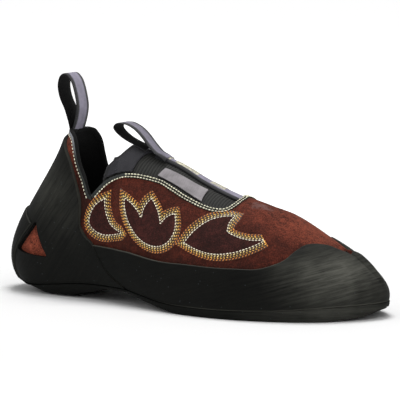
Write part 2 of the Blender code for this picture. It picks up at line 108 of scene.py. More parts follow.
# post, along, half width, height, turn of the upper handle
TOP = [
    (0, 0.022, 0.000, 1.020, -90),
    (1, 0.032, 0.120, 1.020, -50),
    (2, 0.060, 0.195, 0.994, -10),
    (3, 0.100, 0.235, 0.962, 0),
    (4, 0.165, 0.000, 0.955, 0),
    (5, 0.250, 0.000, 0.000, 0),
    (6, 0.338, 0.000, 0.000, 0),
    (7, 0.454, 0.000, 0.000, 0),
    (8, 0.558, 0.000, 0.000, 0),
    (9, 0.646, 0.000, 0.000, 18),
    (10, 0.704, 0.000, 0.000, 50),
    (11, 0.722, 0.000, 0.000, 90),
]
# along, across, height
RIDGE = [
    (0.160, 0.00, 0.955), (0.200, 0.00, 0.943), (0.240, 0.01, 0.920), (0.320, 0.03, 0.850),
    (0.400, 0.03, 0.758), (0.485, 0.03, 0.680), (0.560, 0.03, 0.629), (0.630, 0.04, 0.578),
    (0.685, 0.07, 0.498), (0.722, 0.10, 0.435),
]
# along, height: the sole's underside, the seam above it, and how far the sole tucks in
UNDER = [
    (-0.110, 0.054), (-0.070, 0.040), (-0.040, 0.019), (-0.012, 0.000), (0.060, 0.000),
    (0.092, 0.019), (0.127, 0.038), (0.185, 0.072), (0.240, 0.072), (0.300, 0.042),
    (0.373, 0.011), (0.415, 0.000), (0.760, 0.000), (0.790, 0.010), (0.827, 0.022),
    (0.850, 0.045), (0.870, 0.066),
]
SEAM = [
    (-0.100, 0.060), (-0.070, 0.052), (0.000, 0.070), (0.107, 0.098), (0.185, 0.103),
    (0.246, 0.100), (0.290, 0.083), (0.346, 0.060), (0.460, 0.050), (0.627, 0.060),
    (0.780, 0.087), (0.870, 0.096),
]
TUCK = [
    (-0.100, 0.100), (0.100, 0.090), (0.250, 0.045), (0.400, 0.000), (0.750, 0.000),
    (0.860, 0.020),
]


def from_seam(rows):
    """Straight outline rows up from the seam, out of low post, high post and high t."""
    return [(low, 0.0, high, level, 0.0) for low, high, level in rows]


# Outlines on the last. low post, high post, high t
UPPER_EDGE = from_seam([
    (0.00, 0.00, 1.000), (0.70, 0.70, 1.000), (1.40, 1.40, 0.998), (1.95, 2.02, 0.978),
    (2.50, 2.60, 0.872), (2.95, 3.06, 0.763), (3.27, 3.32, 0.640), (3.45, 3.48, 0.655),
    (3.72, 3.76, 0.680), (4.05, 4.10, 0.689), (4.45, 4.50, 0.709), (4.90, 4.95, 0.727),
    (5.40, 5.43, 0.733), (5.85, 5.87, 0.713), (6.25, 6.28, 0.697), (6.70, 6.76, 0.701),
    (7.03, 7.11, 0.739), (7.30, 7.30, 0.820), (7.60, 7.40, 0.925), (7.90, 7.44, 1.000),
    (8.40, 8.10, 1.000), (9.00, 8.80, 1.000), (9.50, 9.40, 1.000), (10.00, 9.95, 1.000),
    (10.50, 10.50, 1.000), (11.00, 11.00, 1.000),
])
# The inner side's collar dips further back
UPPER_INNER_EDGE = UPPER_EDGE[:1] + from_seam([
    (1.30, 1.30, 1.000), (1.72, 1.74, 0.982), (1.98, 2.01, 0.940), (2.22, 2.19, 0.858),
    (2.66, 2.50, 0.745), (3.12, 3.08, 0.640),
]) + UPPER_EDGE[7:]
COLLAR_ROWS = (0.0, 6.0)
THROAT_ROWS = (6.0, 19.0)
# The throat's binding is grey from the notch to this row
GREY_ROW = 9.8
# low post, low t, high post, high t, bow
TONGUE_EDGE = [
    (3.62, 0.620, 4.33, 1.0, -0.16),
    (4.00, 0.630, 4.60, 1.0, -0.10),
    (4.45, 0.650, 5.00, 1.0, -0.04),
    (5.00, 0.660, 5.45, 1.0, 0.0),
    (5.50, 0.660, 5.95, 1.0, 0.0),
    (6.10, 0.640, 6.50, 1.0, 0.0),
    (6.70, 0.645, 7.05, 1.0, 0.0),
    (7.15, 0.670, 7.42, 1.0, 0.0),
    (7.48, 0.760, 7.60, 1.0, 0.0),
]
STRAP_EDGE = [
    (5.1, 0.915, 5.1, 1.0, 0.0),
    (5.80, 0.915, 5.80, 1.0, 0.0),
    (6.50, 0.904, 6.50, 1.0, 0.0),
    (7.46, 0.895, 7.46, 1.0, 0.0),
]
LABEL_EDGE = [
    (5.32, 0.764, 5.51, 0.844, 0.0),
    (6.55, 0.726, 6.65, 0.858, 0.0),
]
# low post, high post, high t
HEEL_RAND_EDGE = from_seam([
    (0.00, 0.00, 0.965), (0.50, 0.80, 0.940), (1.00, 1.50, 0.895), (1.50, 2.05, 0.845),
    (2.00, 2.55, 0.760), (2.50, 2.85, 0.660), (2.90, 2.90, 0.580), (3.30, 2.87, 0.500),
    (3.60, 3.10, 0.400), (3.82, 3.30, 0.345), (3.98, 3.57, 0.200), (4.12, 3.86, 0.085),
    (4.24, 4.18, 0.025),
])
HEEL_RAND_INNER_EDGE = HEEL_RAND_EDGE[:3] + from_seam([
    (1.50, 1.86, 0.835), (2.00, 2.20, 0.735), (2.50, 2.50, 0.640), (2.90, 2.70, 0.560),
    (3.30, 2.80, 0.490),
]) + HEEL_RAND_EDGE[8:]
# low post, low t, high post, high t, bow
HEEL_CAP_EDGE = [
    (0.00, 0.0, 0.00, 0.525, 0.0),
    (0.30, 0.0, 0.35, 0.518, -0.06),
    (0.58, 0.0, 0.74, 0.495, -0.15),
    (0.76, 0.0, 1.03, 0.465, -0.22),
]
# low post, high post, high t on the outer side, high t on the inner side, bow
TOE_RAND_EDGE = [
    (4.34, 3.24, 0.339, 0.345, -0.155),
    (4.60, 4.00, 0.290, 0.315, -0.08),
    (4.90, 4.59, 0.288, 0.300, -0.03),
    (5.30, 5.11, 0.291, 0.295, 0.0),
    (5.90, 5.81, 0.297, 0.300, 0.0),
    (6.65, 6.65, 0.316, 0.315, 0.0),
    (7.35, 7.32, 0.333, 0.330, 0.0),
    (7.80, 7.77, 0.342, 0.365, 0.0),
    (8.20, 8.15, 0.378, 0.415, 0.0),
    (8.55, 8.48, 0.438, 0.485, 0.0),
    (8.90, 8.81, 0.556, 0.580, 0.0),
    (9.15, 9.07, 0.652, 0.690, 0.0),
    (9.50, 9.47, 0.756, 0.782, 0.0),
    (9.95, 9.93, 0.832, 0.790, 0.0),
    (10.50, 10.50, 0.842, 0.782, 0.0),
    (11.00, 11.00, 0.794, 0.794, 0.0),
]
# Corners of the window in the heel rand: post, t
WINDOW = [(1.17, 0.488), (0.74, 0.297), (1.85, 0.243)]
# Middle lines of the two pull loops: along, height
HEEL_LOOP = [
    (0.0235, 0.985), (0.0225, 1.015), (0.0195, 1.060), (0.009, 1.138), (-0.005, 1.208),
    (-0.011, 1.279), (-0.008, 1.322), (-0.002, 1.346), (0.007, 1.354), (0.016, 1.345),
    (0.028, 1.306), (0.038, 1.229), (0.043, 1.153), (0.0405, 1.100), (0.036, 1.058),
    (0.0305, 1.026), (0.027, 1.004),
]
FRONT_LOOP = [
    (0.236, 0.9225), (0.222, 0.932), (0.207, 0.943), (0.190, 0.958), (0.169, 0.984),
    (0.152, 1.015), (0.145, 1.041), (0.152, 1.063), (0.172, 1.067), (0.198, 1.044),
    (0.220, 1.001), (0.241, 0.944), (0.259, 0.903), (0.275, 0.888), (0.290, 0.874),
]

# Soft troughs and ridges of the suede: post and t at both ends, half width and depth in mm.
# A negative depth stands proud.
CREASES = [
    (7.62, 0.90, 8.05, 0.70, 3.2, 0.55),
    (7.86, 0.95, 8.30, 0.78, 3.6, -0.45),
    (8.22, 1.00, 8.62, 0.70, 4.2, 0.70),
    (8.55, 1.00, 8.95, 0.82, 5.0, -0.50),
    (7.20, 0.52, 7.85, 0.46, 5.0, -0.40),
    (6.30, 0.42, 7.20, 0.40, 4.0, 0.35),
    (4.05, 0.60, 3.75, 0.42, 3.5, 0.40),
    (4.55, 0.62, 4.40, 0.40, 5.0, -0.35),
    (14.10, 0.78, 13.55, 0.98, 4.0, 0.60),
    (14.60, 0.60, 14.05, 0.88, 4.5, -0.50),
    (15.30, 0.45, 14.60, 0.62, 4.0, 0.45),
    (17.60, 0.62, 17.90, 0.40, 4.5, 0.40),
]

# The stitched leaves on the outer side, in mm forward of the heel band and up from the rand.
# Each leaf is a chain of arcs that meet in points.
PLUME = [
    [(13, 27), (4, 22), (1, 14), (7, 7), (26, 5)],
    [(26, 5), (17, 10), (14, 17), (13, 27)],
]
TULIP = [
    [(50, 3), (39, 6), (32, 15), (30, 28)],
    [(30, 28), (38, 24), (43, 18)],
    [(43, 18), (45, 26), (51, 34)],
    [(51, 34), (56, 27), (58, 18)],
    [(58, 18), (63, 24), (70, 28)],
    [(70, 28), (69, 16), (62, 7), (50, 3)],
]
FLAME = [
    [(77, 10), (92, 7), (110, 10), (133, 21)],
    [(133, 21), (121, 20), (108, 24)],
    [(108, 24), (109, 30), (113, 37)],
    [(113, 37), (99, 32), (88, 23), (77, 10)],
]
LEAVES = [PLUME, TULIP, FLAME]
# Where the leaves' chart has its zero, as post and height
CHART_POST = 3.2
CHART_T = 0.34


def linear(hexed):
    """Linear colour, with alpha, of an sRGB hex value."""
    parts = [int(hexed[i:i + 2], 16) / 255 for i in (1, 3, 5)]
    return tuple(p / 12.92 if p <= 0.04045 else ((p + 0.055) / 1.055) ** 2.4 for p in parts) + (1.0,)


def length(name, about, value):
    """Length that the panel shows."""
    return bpy.props.FloatProperty(
        name=name, description=about, default=value, unit="LENGTH", subtype="DISTANCE")


def tint(name, about, hexed):
    """Colour that the panel shows."""
    return bpy.props.FloatVectorProperty(
        name=name, description=about, default=linear(hexed), size=4, subtype="COLOR")


class SlipperSizes(bpy.types.PropertyGroup):
    """Sizes of the finish."""

    crease: bpy.props.FloatProperty(
        name="Crease depth", description="Times the depth of the suede's soft troughs",
        default=1.0, min=0, max=3)
    binding_width: length("Binding width", "Width of the throat's binding", 0.0031)
    collar_width: length("Collar width", "Width of the ankle's binding", 0.0026)
    seam_pitch: length("Seam pitch", "Length of one stitch with its gap on the bindings", 0.0021)
    leaf_pitch: length("Leaf pitch", "Step between stitches in the leaves", 0.0019)
    row_gap: length("Row gap", "Step between the leaves' rows of stitches", 0.0014)
    thread: length("Thread", "Width of a stitch", 0.00075)
    rib_pitch: length("Rib pitch", "Step between the elastic's ribs", 0.0019)
    rib_height: length("Rib height", "Height of the elastic's ribs", 0.00038)
    selvedge: length("Selvedge", "Width of the webbing's black edges", 0.0031)


class SlipperColours(bpy.types.PropertyGroup):
    """Colours of the finish."""

    suede: tint("Suede", "Russet suede", "#43190f")
    applique: tint("Applique", "Dark suede inside the leaves", "#331512")
    rubber: tint("Rubber", "Climbing rubber", "#070807")
    webbing: tint("Webbing", "Lilac grey webbing", "#8d889a")
    elastic: tint("Elastic", "Ribbed elastic", "#20201e")
    seam_thread: tint("Seam thread", "Thread of the bindings", "#f0ecd0")


def smooth(table, column, place):
    """Cubic through a table's rows, flat where they turn back."""
    xs = np.array([row[0] for row in table], float)
    ys = np.array([row[column] for row in table], float)
    steps = np.diff(xs)
    rates = np.diff(ys) / steps
    inner = (rates[1:] * steps[:-1] + rates[:-1] * steps[1:]) / (steps[1:] + steps[:-1])
    inner = np.where(rates[1:] * rates[:-1] <= 0, 0, inner)
    slopes = np.concatenate([[rates[0]], inner, [rates[-1]]])
    place = np.asarray(place, float)
    i = np.clip(np.searchsorted(xs, place, side="right") - 1, 0, len(xs) - 2)
    h = steps[i]
    t = np.clip((place - xs[i]) / h, 0, 1)
    start = ys[i] * (1 + 2 * t) + h * slopes[i] * t
    end = ys[i + 1] * (3 - 2 * t) + h * slopes[i + 1] * (t - 1)
    return start * (1 - t) ** 2 + end * t * t


LATERAL_POSTS = [(row[0], -row[1]) + row[2:] for row in LATERAL]
POSTS = np.array(LATERAL_POSTS + MEDIAL[::-1])
ROUND = len(POSTS)
TOE = len(LATERAL) - 1
TURNING = 4 * np.eye(ROUND) + np.roll(np.eye(ROUND), 1, 1) + np.roll(np.eye(ROUND), -1, 1)
POST_SLOPES = np.linalg.solve(TURNING, 3 * (np.roll(POSTS, -1, 0) - np.roll(POSTS, 1, 0)))


def post(column, s):
    """Smooth closed curve through one column of the posts."""
    s = np.mod(s, ROUND)
    i = np.floor(s).astype(int) % ROUND
    j = (i + 1) % ROUND
    t = s - np.floor(s)
    start = POSTS[i, column] * (1 + 2 * t) + POST_SLOPES[i, column] * t
    end = POSTS[j, column] * (3 - 2 * t) + POST_SLOPES[j, column] * (t - 1)
    return start * (1 - t) ** 2 + end * t * t


def foot(s):
    """Point on the seam above the sole, and the level direction out of the shoe there."""
    x = post(0, s) * LENGTH
    y = post(1, s) * BALL_WIDTH
    z = smooth(SEAM, 1, x / LENGTH) * HEEL_HEIGHT
    step = 0.001
    dx = (post(0, s + step) - post(0, s - step)) * LENGTH
    dy = (post(1, s + step) - post(1, s - step)) * BALL_WIDTH
    size = np.hypot(dx, dy)
    return np.stack([x, y, z], -1), np.stack([dy / size, -dx / size, 0 * x], -1)


def ridge(along):
    """Point on the instep's ridge."""
    y = smooth(RIDGE, 1, along) * BALL_WIDTH
    z = smooth(RIDGE, 2, along) * HEEL_HEIGHT
    return np.stack([along * LENGTH, y, z], -1)


def top(s):
    """Upper end of the post's curve, and the level direction of its handle."""
    s = np.mod(s, ROUND)
    side = np.where(s <= TOE, -1.0, 1.0)
    c = np.where(s <= TOE, s, ROUND - s)
    along = smooth(TOP, 1, c)
    half = smooth(TOP[:FRONT + 1], 2, c) * BALL_WIDTH
    level = smooth(TOP[:FRONT + 1], 3, c) * HEEL_HEIGHT
    ring = np.stack([along * LENGTH, side * half, level], -1)
    end = np.where((c < FRONT)[..., None], ring, ridge(along))
    slope = (ridge(along + 0.002) - ridge(along - 0.002))[..., 2] / (0.004 * LENGTH)
    turn = np.radians(smooth(TOP, 4, c))
    ease = np.clip((c - 7) / 1.5, 0, 1)
    ease = ease * ease * (3 - 2 * ease)
    way = np.stack([np.sin(turn), side * np.cos(turn), ease * slope * np.sin(turn)], -1)
    return end, way


def skin(s, t):
    """The last's surface: a cubic from the seam to the ring or ridge."""
    low, out = foot(s)
    high, way = top(s)
    up = np.array([0.0, 0.0, HEEL_HEIGHT])
    flare = (post(2, s) * BALL_WIDTH)[..., None]
    reach = (post(4, s) * BALL_WIDTH)[..., None]
    first = low + flare * out + post(3, s)[..., None] * up
    second = high + reach * way - post(5, s)[..., None] * up
    t = t[..., None]
    near = (1 - t) ** 3 * low + 3 * (1 - t) ** 2 * t * first
    return near + 3 * (1 - t) * t ** 2 * second + t ** 3 * high


def slopes(s, t):
    """How the surface moves with the post number and with the height."""
    step = 0.001
    below = np.minimum(t, 0.99)
    along = skin(s + step, below) - skin(s - step, below)
    low = np.maximum(below - step, 0)
    up = skin(s, below + step) - skin(s, low)
    return along / (2 * step), up / (below + step - low)[..., None]


def outward(s, t):
    """Unit normal of the last, level at the seam."""
    along, up = slopes(s, t)
    out = np.cross(along, up)
    ease = np.clip(t / 0.12, 0, 1)
    out[..., 2] *= ease * ease * (3 - 2 * ease)
    return out / np.linalg.norm(out, axis=-1, keepdims=True)


def wrap(s, t, offset):
    """Point at an offset out of the last, with both halves made to meet along the ridge."""
    offset = np.asarray(offset, float) + 0 * s
    here = skin(s, t) + offset[..., None] * outward(s, t)
    there = skin(ROUND - s, t) + offset[..., None] * outward(ROUND - s, t)
    c = np.where(np.mod(s, ROUND) <= TOE, np.mod(s, ROUND), ROUND - np.mod(s, ROUND))
    meet = (t > 0.9999) & (c >= FRONT - 0.0001)
    return np.where(meet[..., None], (here + there) / 2, here)


def nudge(s, t, way):
    """Place reached from (s, t) by a short step in metres along the surface."""
    along, up = slopes(s, t)
    aa = (along * along).sum(-1)
    au = (along * up).sum(-1)
    uu = (up * up).sum(-1)
    wa = (way * along).sum(-1)
    wu = (way * up).sum(-1)
    size = aa * uu - au * au
    return s + (wa * uu - wu * au) / size, t + (wu * aa - wa * au) / size


def relief(s, t):
    """The suede's soft troughs and ridges, in metres out of the last."""
    here = skin(s, t)
    total = np.zeros(s.shape)
    depth = bpy.context.scene.slipper_sizes.crease
    for s0, t0, s1, t1, half, deep in CREASES:
        k = np.linspace(0, 1, 9)
        line = skin(s0 + (s1 - s0) * k, t0 + (t1 - t0) * k)
        near = np.full(s.shape, 9.0)
        share = np.zeros(s.shape)
        for i in range(8):
            step = line[i + 1] - line[i]
            f = np.clip(((here - line[i]) @ step) / (step @ step), 0, 1)
            gap = np.linalg.norm(here - line[i] - f[..., None] * step, axis=-1)
            share = np.where(gap < near, (i + f) / 8, share)
            near = np.minimum(near, gap)
        fade = np.sin(np.pi * np.clip(share, 0.06, 0.94)) ** 0.5
        total -= depth * deep / 1000 * fade * np.exp(-(near / (half / 1000)) ** 2)
    return total * np.clip((0.995 - t) / 0.02, 0.0, 1.0)


def lay(edge, u, f):
    """Grid of posts and heights at places u along an outline's rows, f from low to high."""
    numbered = [(i,) + tuple(row) for i, row in enumerate(edge)]
    u = np.asarray(u, float)[:, None]
    f = np.atleast_2d(f)
    value = [smooth(numbered, k, u) for k in range(1, 6)]
    c = value[0] + (value[2] - value[0]) * f + value[4] * 4 * f * (1 - f)
    t = value[1] + (value[3] - value[1]) * f
    return c, t


def rows_to_rim(edge, u, rows):
    """Shares from an outline's low curve to its high one, crowded together at the rim."""
    rim = 0.0026
    c, t = lay(edge, u, np.linspace(0, 1, 41))
    length = np.linalg.norm(np.diff(skin(c, t), axis=1), axis=2).sum(1)
    reach = np.minimum(rim / np.maximum(length, 1e-6), 0.45)
    last_rows = np.array([0.68, 0.42, 0.24, 0.11, 0.04, 0.0])
    first = (1 - reach[:, None]) * np.linspace(0, 1, rows + 1)[None, :]
    return np.concatenate([first, 1 - reach[:, None] * last_rows[None, :]], 1)


def travelled(points, axis=0):
    """Distance from the first row of points, along one axis of a grid."""
    steps = np.linalg.norm(np.diff(points, axis=axis), axis=-1)
    start = 0 * np.take(steps, [0], axis)
    return np.concatenate([start, np.cumsum(steps, axis=axis)], axis)


def from_rim(points):
    """Distance of each grid point from the last row, along its column."""
    steps = np.linalg.norm(np.diff(points, axis=1), axis=2)
    back = np.cumsum(steps[:, ::-1], axis=1)[:, ::-1]
    return np.concatenate([back, np.zeros((len(points), 1))], 1)


def rounded(gap, radius):
    """How far an edge of that radius has dropped at a distance from its rim."""
    inside = np.clip(radius - gap, 0, radius)
    return radius - np.sqrt(np.maximum(radius ** 2 - inside ** 2, 0))


def halves(edges, steps, rows):
    """Grids of the outer and the inner half: is it the inner, post from the heel, post, t, points."""
    for inner, edge in enumerate(edges):
        u = np.linspace(0, len(edge) - 1, steps)
        c, t = lay(edge, u, rows_to_rim(edge, u, rows))
        s = ROUND - c if inner else c
        yield inner, c, s, t, skin(s, t)


def weld(s, t):
    """First places and shared numbers of grid points, joined at heel, toe and ridge."""
    place = np.mod(s, ROUND)
    far = (t > 0.9999) & (place > TOE) & (ROUND - place >= FRONT - 0.0001)
    place = np.where(far, ROUND - place, place)
    place = np.mod(np.round(place, 5), ROUND)
    keys = np.stack([place, np.round(t, 5)], 1)
    _, first, index = np.unique(keys, axis=0, return_index=True, return_inverse=True)
    return first, index.ravel()


def turned(faces, count):
    """The faces turned over for the inner skin, and the walls along the open rim."""
    edges = dict.fromkeys((face[k - 1], q) for face in faces for k, q in enumerate(face))
    rim = [(a, b) for a, b in edges if (b, a) not in edges]
    inner = [[q + count for q in reversed(face)] for face in faces]
    return inner, [[b, a, a + count, b + count] for a, b in rim]


def put_object(name, data):
    """New object of that data in the scene."""
    made = bpy.data.objects.new(name, data)
    bpy.context.scene.collection.objects.link(made)
    return made


def put_mesh(name, points, faces, materials, kinds=None, marks=None, uv=None, angle=40):
    """Mesh object with outward faces, its point marks and its UVs."""
    mesh = bpy.data.meshes.new(name)
    mesh.from_pydata(np.asarray(points, float).tolist(), [], [list(map(int, f)) for f in faces])
    for item in materials:
        mesh.materials.append(item)
    if kinds is not None:
        mesh.polygons.foreach_set("material_index", kinds)
    for mark, values in (marks or {}).items():
        values = np.asarray(values, float)
        form = "FLOAT_VECTOR" if values.ndim == 2 else "FLOAT"
        layer = mesh.attributes.new(mark, form, "POINT")
        layer.data.foreach_set("vector" if values.ndim == 2 else "value", values.ravel())
    if uv is not None:
        layer = mesh.uv_layers.new(name="UVMap")
        corner = np.zeros(len(mesh.loops), int)
        mesh.loops.foreach_get("vertex_index", corner)
        layer.data.foreach_set("uv", np.asarray(uv, float)[corner].ravel())
    work = bmesh.new()
    work.from_mesh(mesh)
    bmesh.ops.recalc_face_normals(work, faces=work.faces)
    work.to_mesh(mesh)
    work.free()
    mesh.shade_smooth()
    mesh.set_sharp_from_angle(angle=math.radians(angle))
    return put_object(name, mesh)


def shell(name, patches, materials):
    """Closed solid over grids. A patch is its s, t, inner and outer offset and its marks.

    A second material lines the inside and the rim.
    """
    s = np.concatenate([p[0].ravel() for p in patches])
    t = np.concatenate([p[1].ravel() for p in patches])
    first, index = weld(s, t)
    inner = np.concatenate([(p[2] + 0 * p[0]).ravel() for p in patches])[first]
    outer = np.concatenate([(p[3] + 0 * p[0]).ravel() for p in patches])[first]
    outside = wrap(s[first], t[first], outer)
    inside = wrap(s[first], t[first], inner)
    marks = {}
    for mark in patches[0][4]:
        flat = np.concatenate([np.broadcast_to(p[4][mark], p[0].shape + np.shape(p[4][mark])[2:]).reshape(
            (p[0].size,) + np.shape(p[4][mark])[2:]) for p in patches])[first]
        marks[mark] = np.concatenate([flat, flat])
    uv = marks.pop("uv", None)
    faces = []
    base = 0
    for patch in patches:
        ids = index[base:base + patch[0].size].reshape(patch[0].shape)
        base += patch[0].size
        quads = np.stack([ids[:-1, :-1], ids[1:, :-1], ids[1:, 1:], ids[:-1, 1:]], -1).reshape(-1, 4)
        if patch[0][-1, 0] < patch[0][0, 0]:
            quads = quads[:, ::-1]
        for quad in quads.tolist():
            face = [q for k, q in enumerate(quad) if q != quad[k - 1]]
            if len(face) > 2:
                faces.append(face)
    back, walls = turned(faces, len(first))
    kinds = [0] * len(faces) + [len(materials) - 1] * len(back + walls)
    points = np.concatenate([outside, inside])
    return put_mesh(name, points, faces + back + walls, materials, kinds, marks, uv)


def calm(piece, rounds):
    """Smooths the pinch where the ridge ends above the toe, in all its layers."""
    radius = 0.011
    end = Vector(ridge(np.array([RIDGE[-1][0]]))[0].tolist())
    work = bmesh.new()
    work.from_mesh(piece.data)
    near = [v for v in work.verts if (v.co - end).length < radius]
    for _ in range(rounds):
        bmesh.ops.smooth_vert(work, verts=near, factor=0.5, use_axis_x=True, use_axis_y=True, use_axis_z=True)
    work.to_mesh(piece.data)
    work.free()
    piece.data.update()
    return piece


def settle(piece, slot, *nodes):
    """Rides the piece on the shoe and hides the nodes that it stands for. The slot is not used."""
    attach(piece, "root")
    if nodes:
        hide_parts(*nodes)
    return piece


def feed(tree, node, inputs):
    """Sets a node's inputs to values, or links them to sockets or to nodes' first outputs."""
    for key, value in inputs.items():
        if isinstance(value, bpy.types.Node):
            value = value.outputs[0]
        if isinstance(value, bpy.types.NodeSocket):
            tree.links.new(value, node.inputs[key])
        else:
            node.inputs[key].default_value = value


def add_node(tree, kind, inputs=None, **settings):
    """Node with its settings and its inputs."""
    made = tree.nodes.new(kind)
    for key, value in settings.items():
        setattr(made, key, value)
    feed(tree, made, inputs or {})
    return made


def new_material(name):
    """Material with nodes, its tree and its shader."""
    made = bpy.data.materials.new(name)
    made.use_nodes = True
    return made, made.node_tree, made.node_tree.nodes["Principled BSDF"]


def fill_ramp(node, stops):
    """Sets a colour ramp's stops."""
    ramp = node.color_ramp
    while len(ramp.elements) < len(stops):
        ramp.elements.new(0.5)
    for element, (place, colour) in zip(ramp.elements, stops):
        element.position = place
        element.color = colour


def darker(colour, share):
    """Colour times a share, alpha kept."""
    return tuple(c * share for c in colour[:3]) + (1.0,)


def suede_material(name, colour, worn_and_lit):
    """Brushed split leather: a matt nap that catches light, with darker and paler strokes."""
    made, tree, shader = new_material(name)
    where = add_node(tree, "ShaderNodeTexCoord").outputs["Object"]
    # Strokes of the hand about 14 mm long, mottling of 4 mm, and nap of 1 mm, drawn coarser
    # than its real 0.3 mm so that it shows
    stroke = add_node(tree, "ShaderNodeTexNoise", {"Vector": where, "Scale": 70.0, "Detail": 3.0})
    mottle = add_node(
        tree, "ShaderNodeTexNoise", {"Vector": where, "Scale": 260.0, "Detail": 5.0, "Roughness": 0.65})
    nap = add_node(
        tree, "ShaderNodeTexNoise", {"Vector": where, "Scale": 1100.0, "Detail": 4.0, "Roughness": 0.75})
    mix = add_node(tree, "ShaderNodeMath", {0: stroke, 1: 0.6, 2: mottle}, operation="MULTIPLY_ADD")
    mix = add_node(tree, "ShaderNodeMath", {0: nap, 1: 2.0, 2: mix}, operation="MULTIPLY_ADD")
    level = add_node(tree, "ShaderNodeMapRange", {"Value": mix, "From Min": 1.45, "From Max": 2.15})
    ramp = add_node(tree, "ShaderNodeValToRGB", {"Fac": level})
    fill_ramp(ramp, [(0.0, darker(colour, 0.45)), (0.5, colour), (1.0, darker(colour, 2.3))])
    # Paler where marked: partly rubbing of the nap, partly painted light on the toe's top, the heel corner
    # and in the heel window
    wear_and_light = add_node(tree, "ShaderNodeAttribute", attribute_name="wear_and_light")
    rub_and_light = add_node(tree, "ShaderNodeMath", {0: wear_and_light.outputs["Fac"], 1: level}, operation="MULTIPLY")
    rub_and_light = add_node(tree, "ShaderNodeMath", {0: rub_and_light, 1: 1.3}, operation="MULTIPLY", use_clamp=True)
    paint = add_node(tree, "ShaderNodeMix", {0: rub_and_light, 6: ramp, 7: worn_and_lit}, data_type="RGBA")
    scuff = add_node(tree, "ShaderNodeAttribute", attribute_name="scuff")
    patch = add_node(tree, "ShaderNodeMath", {0: scuff.outputs["Fac"], 1: mottle}, operation="MULTIPLY")
    patch = add_node(
        tree, "ShaderNodeMapRange", {"Value": patch, "From Min": 0.36, "From Max": 0.60, "To Max": 0.75})
    paint = add_node(
        tree, "ShaderNodeMix", {0: patch, 6: paint.outputs[2], 7: linear("#6f5a58")}, data_type="RGBA")
    # Painted shade: darker where the shade mark is set
    shade = add_node(tree, "ShaderNodeAttribute", attribute_name="shade")
    paint = add_node(
        tree, "ShaderNodeMix", {0: shade.outputs["Fac"], 6: paint.outputs[2], 7: darker(colour, 0.3)},
        data_type="RGBA")
    high = add_node(tree, "ShaderNodeBump", {"Height": nap, "Strength": 0.7, "Distance": 0.0006})
    low = add_node(
        tree, "ShaderNodeBump",
        {"Height": mottle, "Strength": 0.5, "Distance": 0.0008, "Normal": high})
    feed(tree, shader, {
        "Base Color": paint.outputs[2], "Normal": low, "Roughness": 0.92,
        "Specular IOR Level": 0.25, "Sheen Weight": 0.16, "Sheen Roughness": 0.45,
        "Sheen Tint": linear("#c98868")})
    return made


def rubber_material(name, stretch, tilt):
    """Buffed climbing rubber: near black, ground in fine strokes, with grey blooming and a painted highlight.
    """
    colour = tuple(bpy.context.scene.slipper_colours.rubber)
    made, tree, shader = new_material(name)
    where = add_node(tree, "ShaderNodeTexCoord").outputs["Object"]
    # Grinding strokes 20 mm or more long and about 1 mm apart, drawn coarser than the belt's grit
    turn = add_node(
        tree, "ShaderNodeVectorRotate", {"Vector": where, "Angle": math.radians(tilt)},
        rotation_type="Y_AXIS")
    turn = add_node(tree, "ShaderNodeVectorMath", {0: turn, 1: stretch}, operation="MULTIPLY")
    stroke = add_node(
        tree, "ShaderNodeTexNoise", {"Vector": turn, "Scale": 1.0, "Detail": 4.0, "Roughness": 0.7})
    cloud = add_node(tree, "ShaderNodeTexNoise", {"Vector": where, "Scale": 60.0, "Detail": 4.0})
    grit = add_node(tree, "ShaderNodeTexNoise", {"Vector": where, "Scale": 1500.0, "Detail": 2.0})
    speck = add_node(tree, "ShaderNodeTexVoronoi", {"Vector": where, "Scale": 230.0})
    # Painted highlight with blooming: the marked places, and a little everywhere, turn pale grey, broken up
    # by the dust strokes
    bloom_and_highlight = add_node(tree, "ShaderNodeAttribute", attribute_name="bloom_and_highlight")
    dust = add_node(tree, "ShaderNodeMath", {0: cloud, 1: 0.5, 2: stroke}, operation="MULTIPLY_ADD")
    dust = add_node(tree, "ShaderNodeMapRange", {"Value": dust, "From Min": 0.42, "From Max": 1.08})
    haze_and_highlight = add_node(tree, "ShaderNodeMath", {0: bloom_and_highlight.outputs["Fac"], 1: 0.045}, operation="ADD")
    haze_and_highlight = add_node(tree, "ShaderNodeMath", {0: haze_and_highlight, 1: dust}, operation="MULTIPLY")
    paint = add_node(tree, "ShaderNodeMix", {0: haze_and_highlight, 6: colour, 7: linear("#6e6e66")}, data_type="RGBA")
    spot = add_node(tree, "ShaderNodeMapRange", {
        "Value": speck.outputs["Distance"], "From Min": 0.10, "From Max": 0.05, "To Max": 0.35})
    paint = add_node(
        tree, "ShaderNodeMix", {0: spot, 6: paint.outputs[2], 7: linear("#50565a")}, data_type="RGBA")
    # Paler along the rims: partly the rubber's cut edge, partly a painted highlight
    edge = add_node(tree, "ShaderNodeAttribute", attribute_name="cut")
    paint = add_node(
        tree, "ShaderNodeMix", {0: edge.outputs["Fac"], 6: paint.outputs[2], 7: linear("#6a6a62")},
        data_type="RGBA")
    rough = add_node(tree, "ShaderNodeMapRange", {
        "Value": dust, "To Min": 0.60, "To Max": 0.82})
    grain = add_node(tree, "ShaderNodeBump", {"Height": grit, "Strength": 0.35, "Distance": 0.0002})
    lines = add_node(
        tree, "ShaderNodeBump",
        {"Height": stroke, "Strength": 0.55, "Distance": 0.0004, "Normal": grain})
    feed(tree, shader, {
        "Base Color": paint.outputs[2], "Roughness": rough, "Normal": lines,
        "Specular IOR Level": 0.09})
    return made


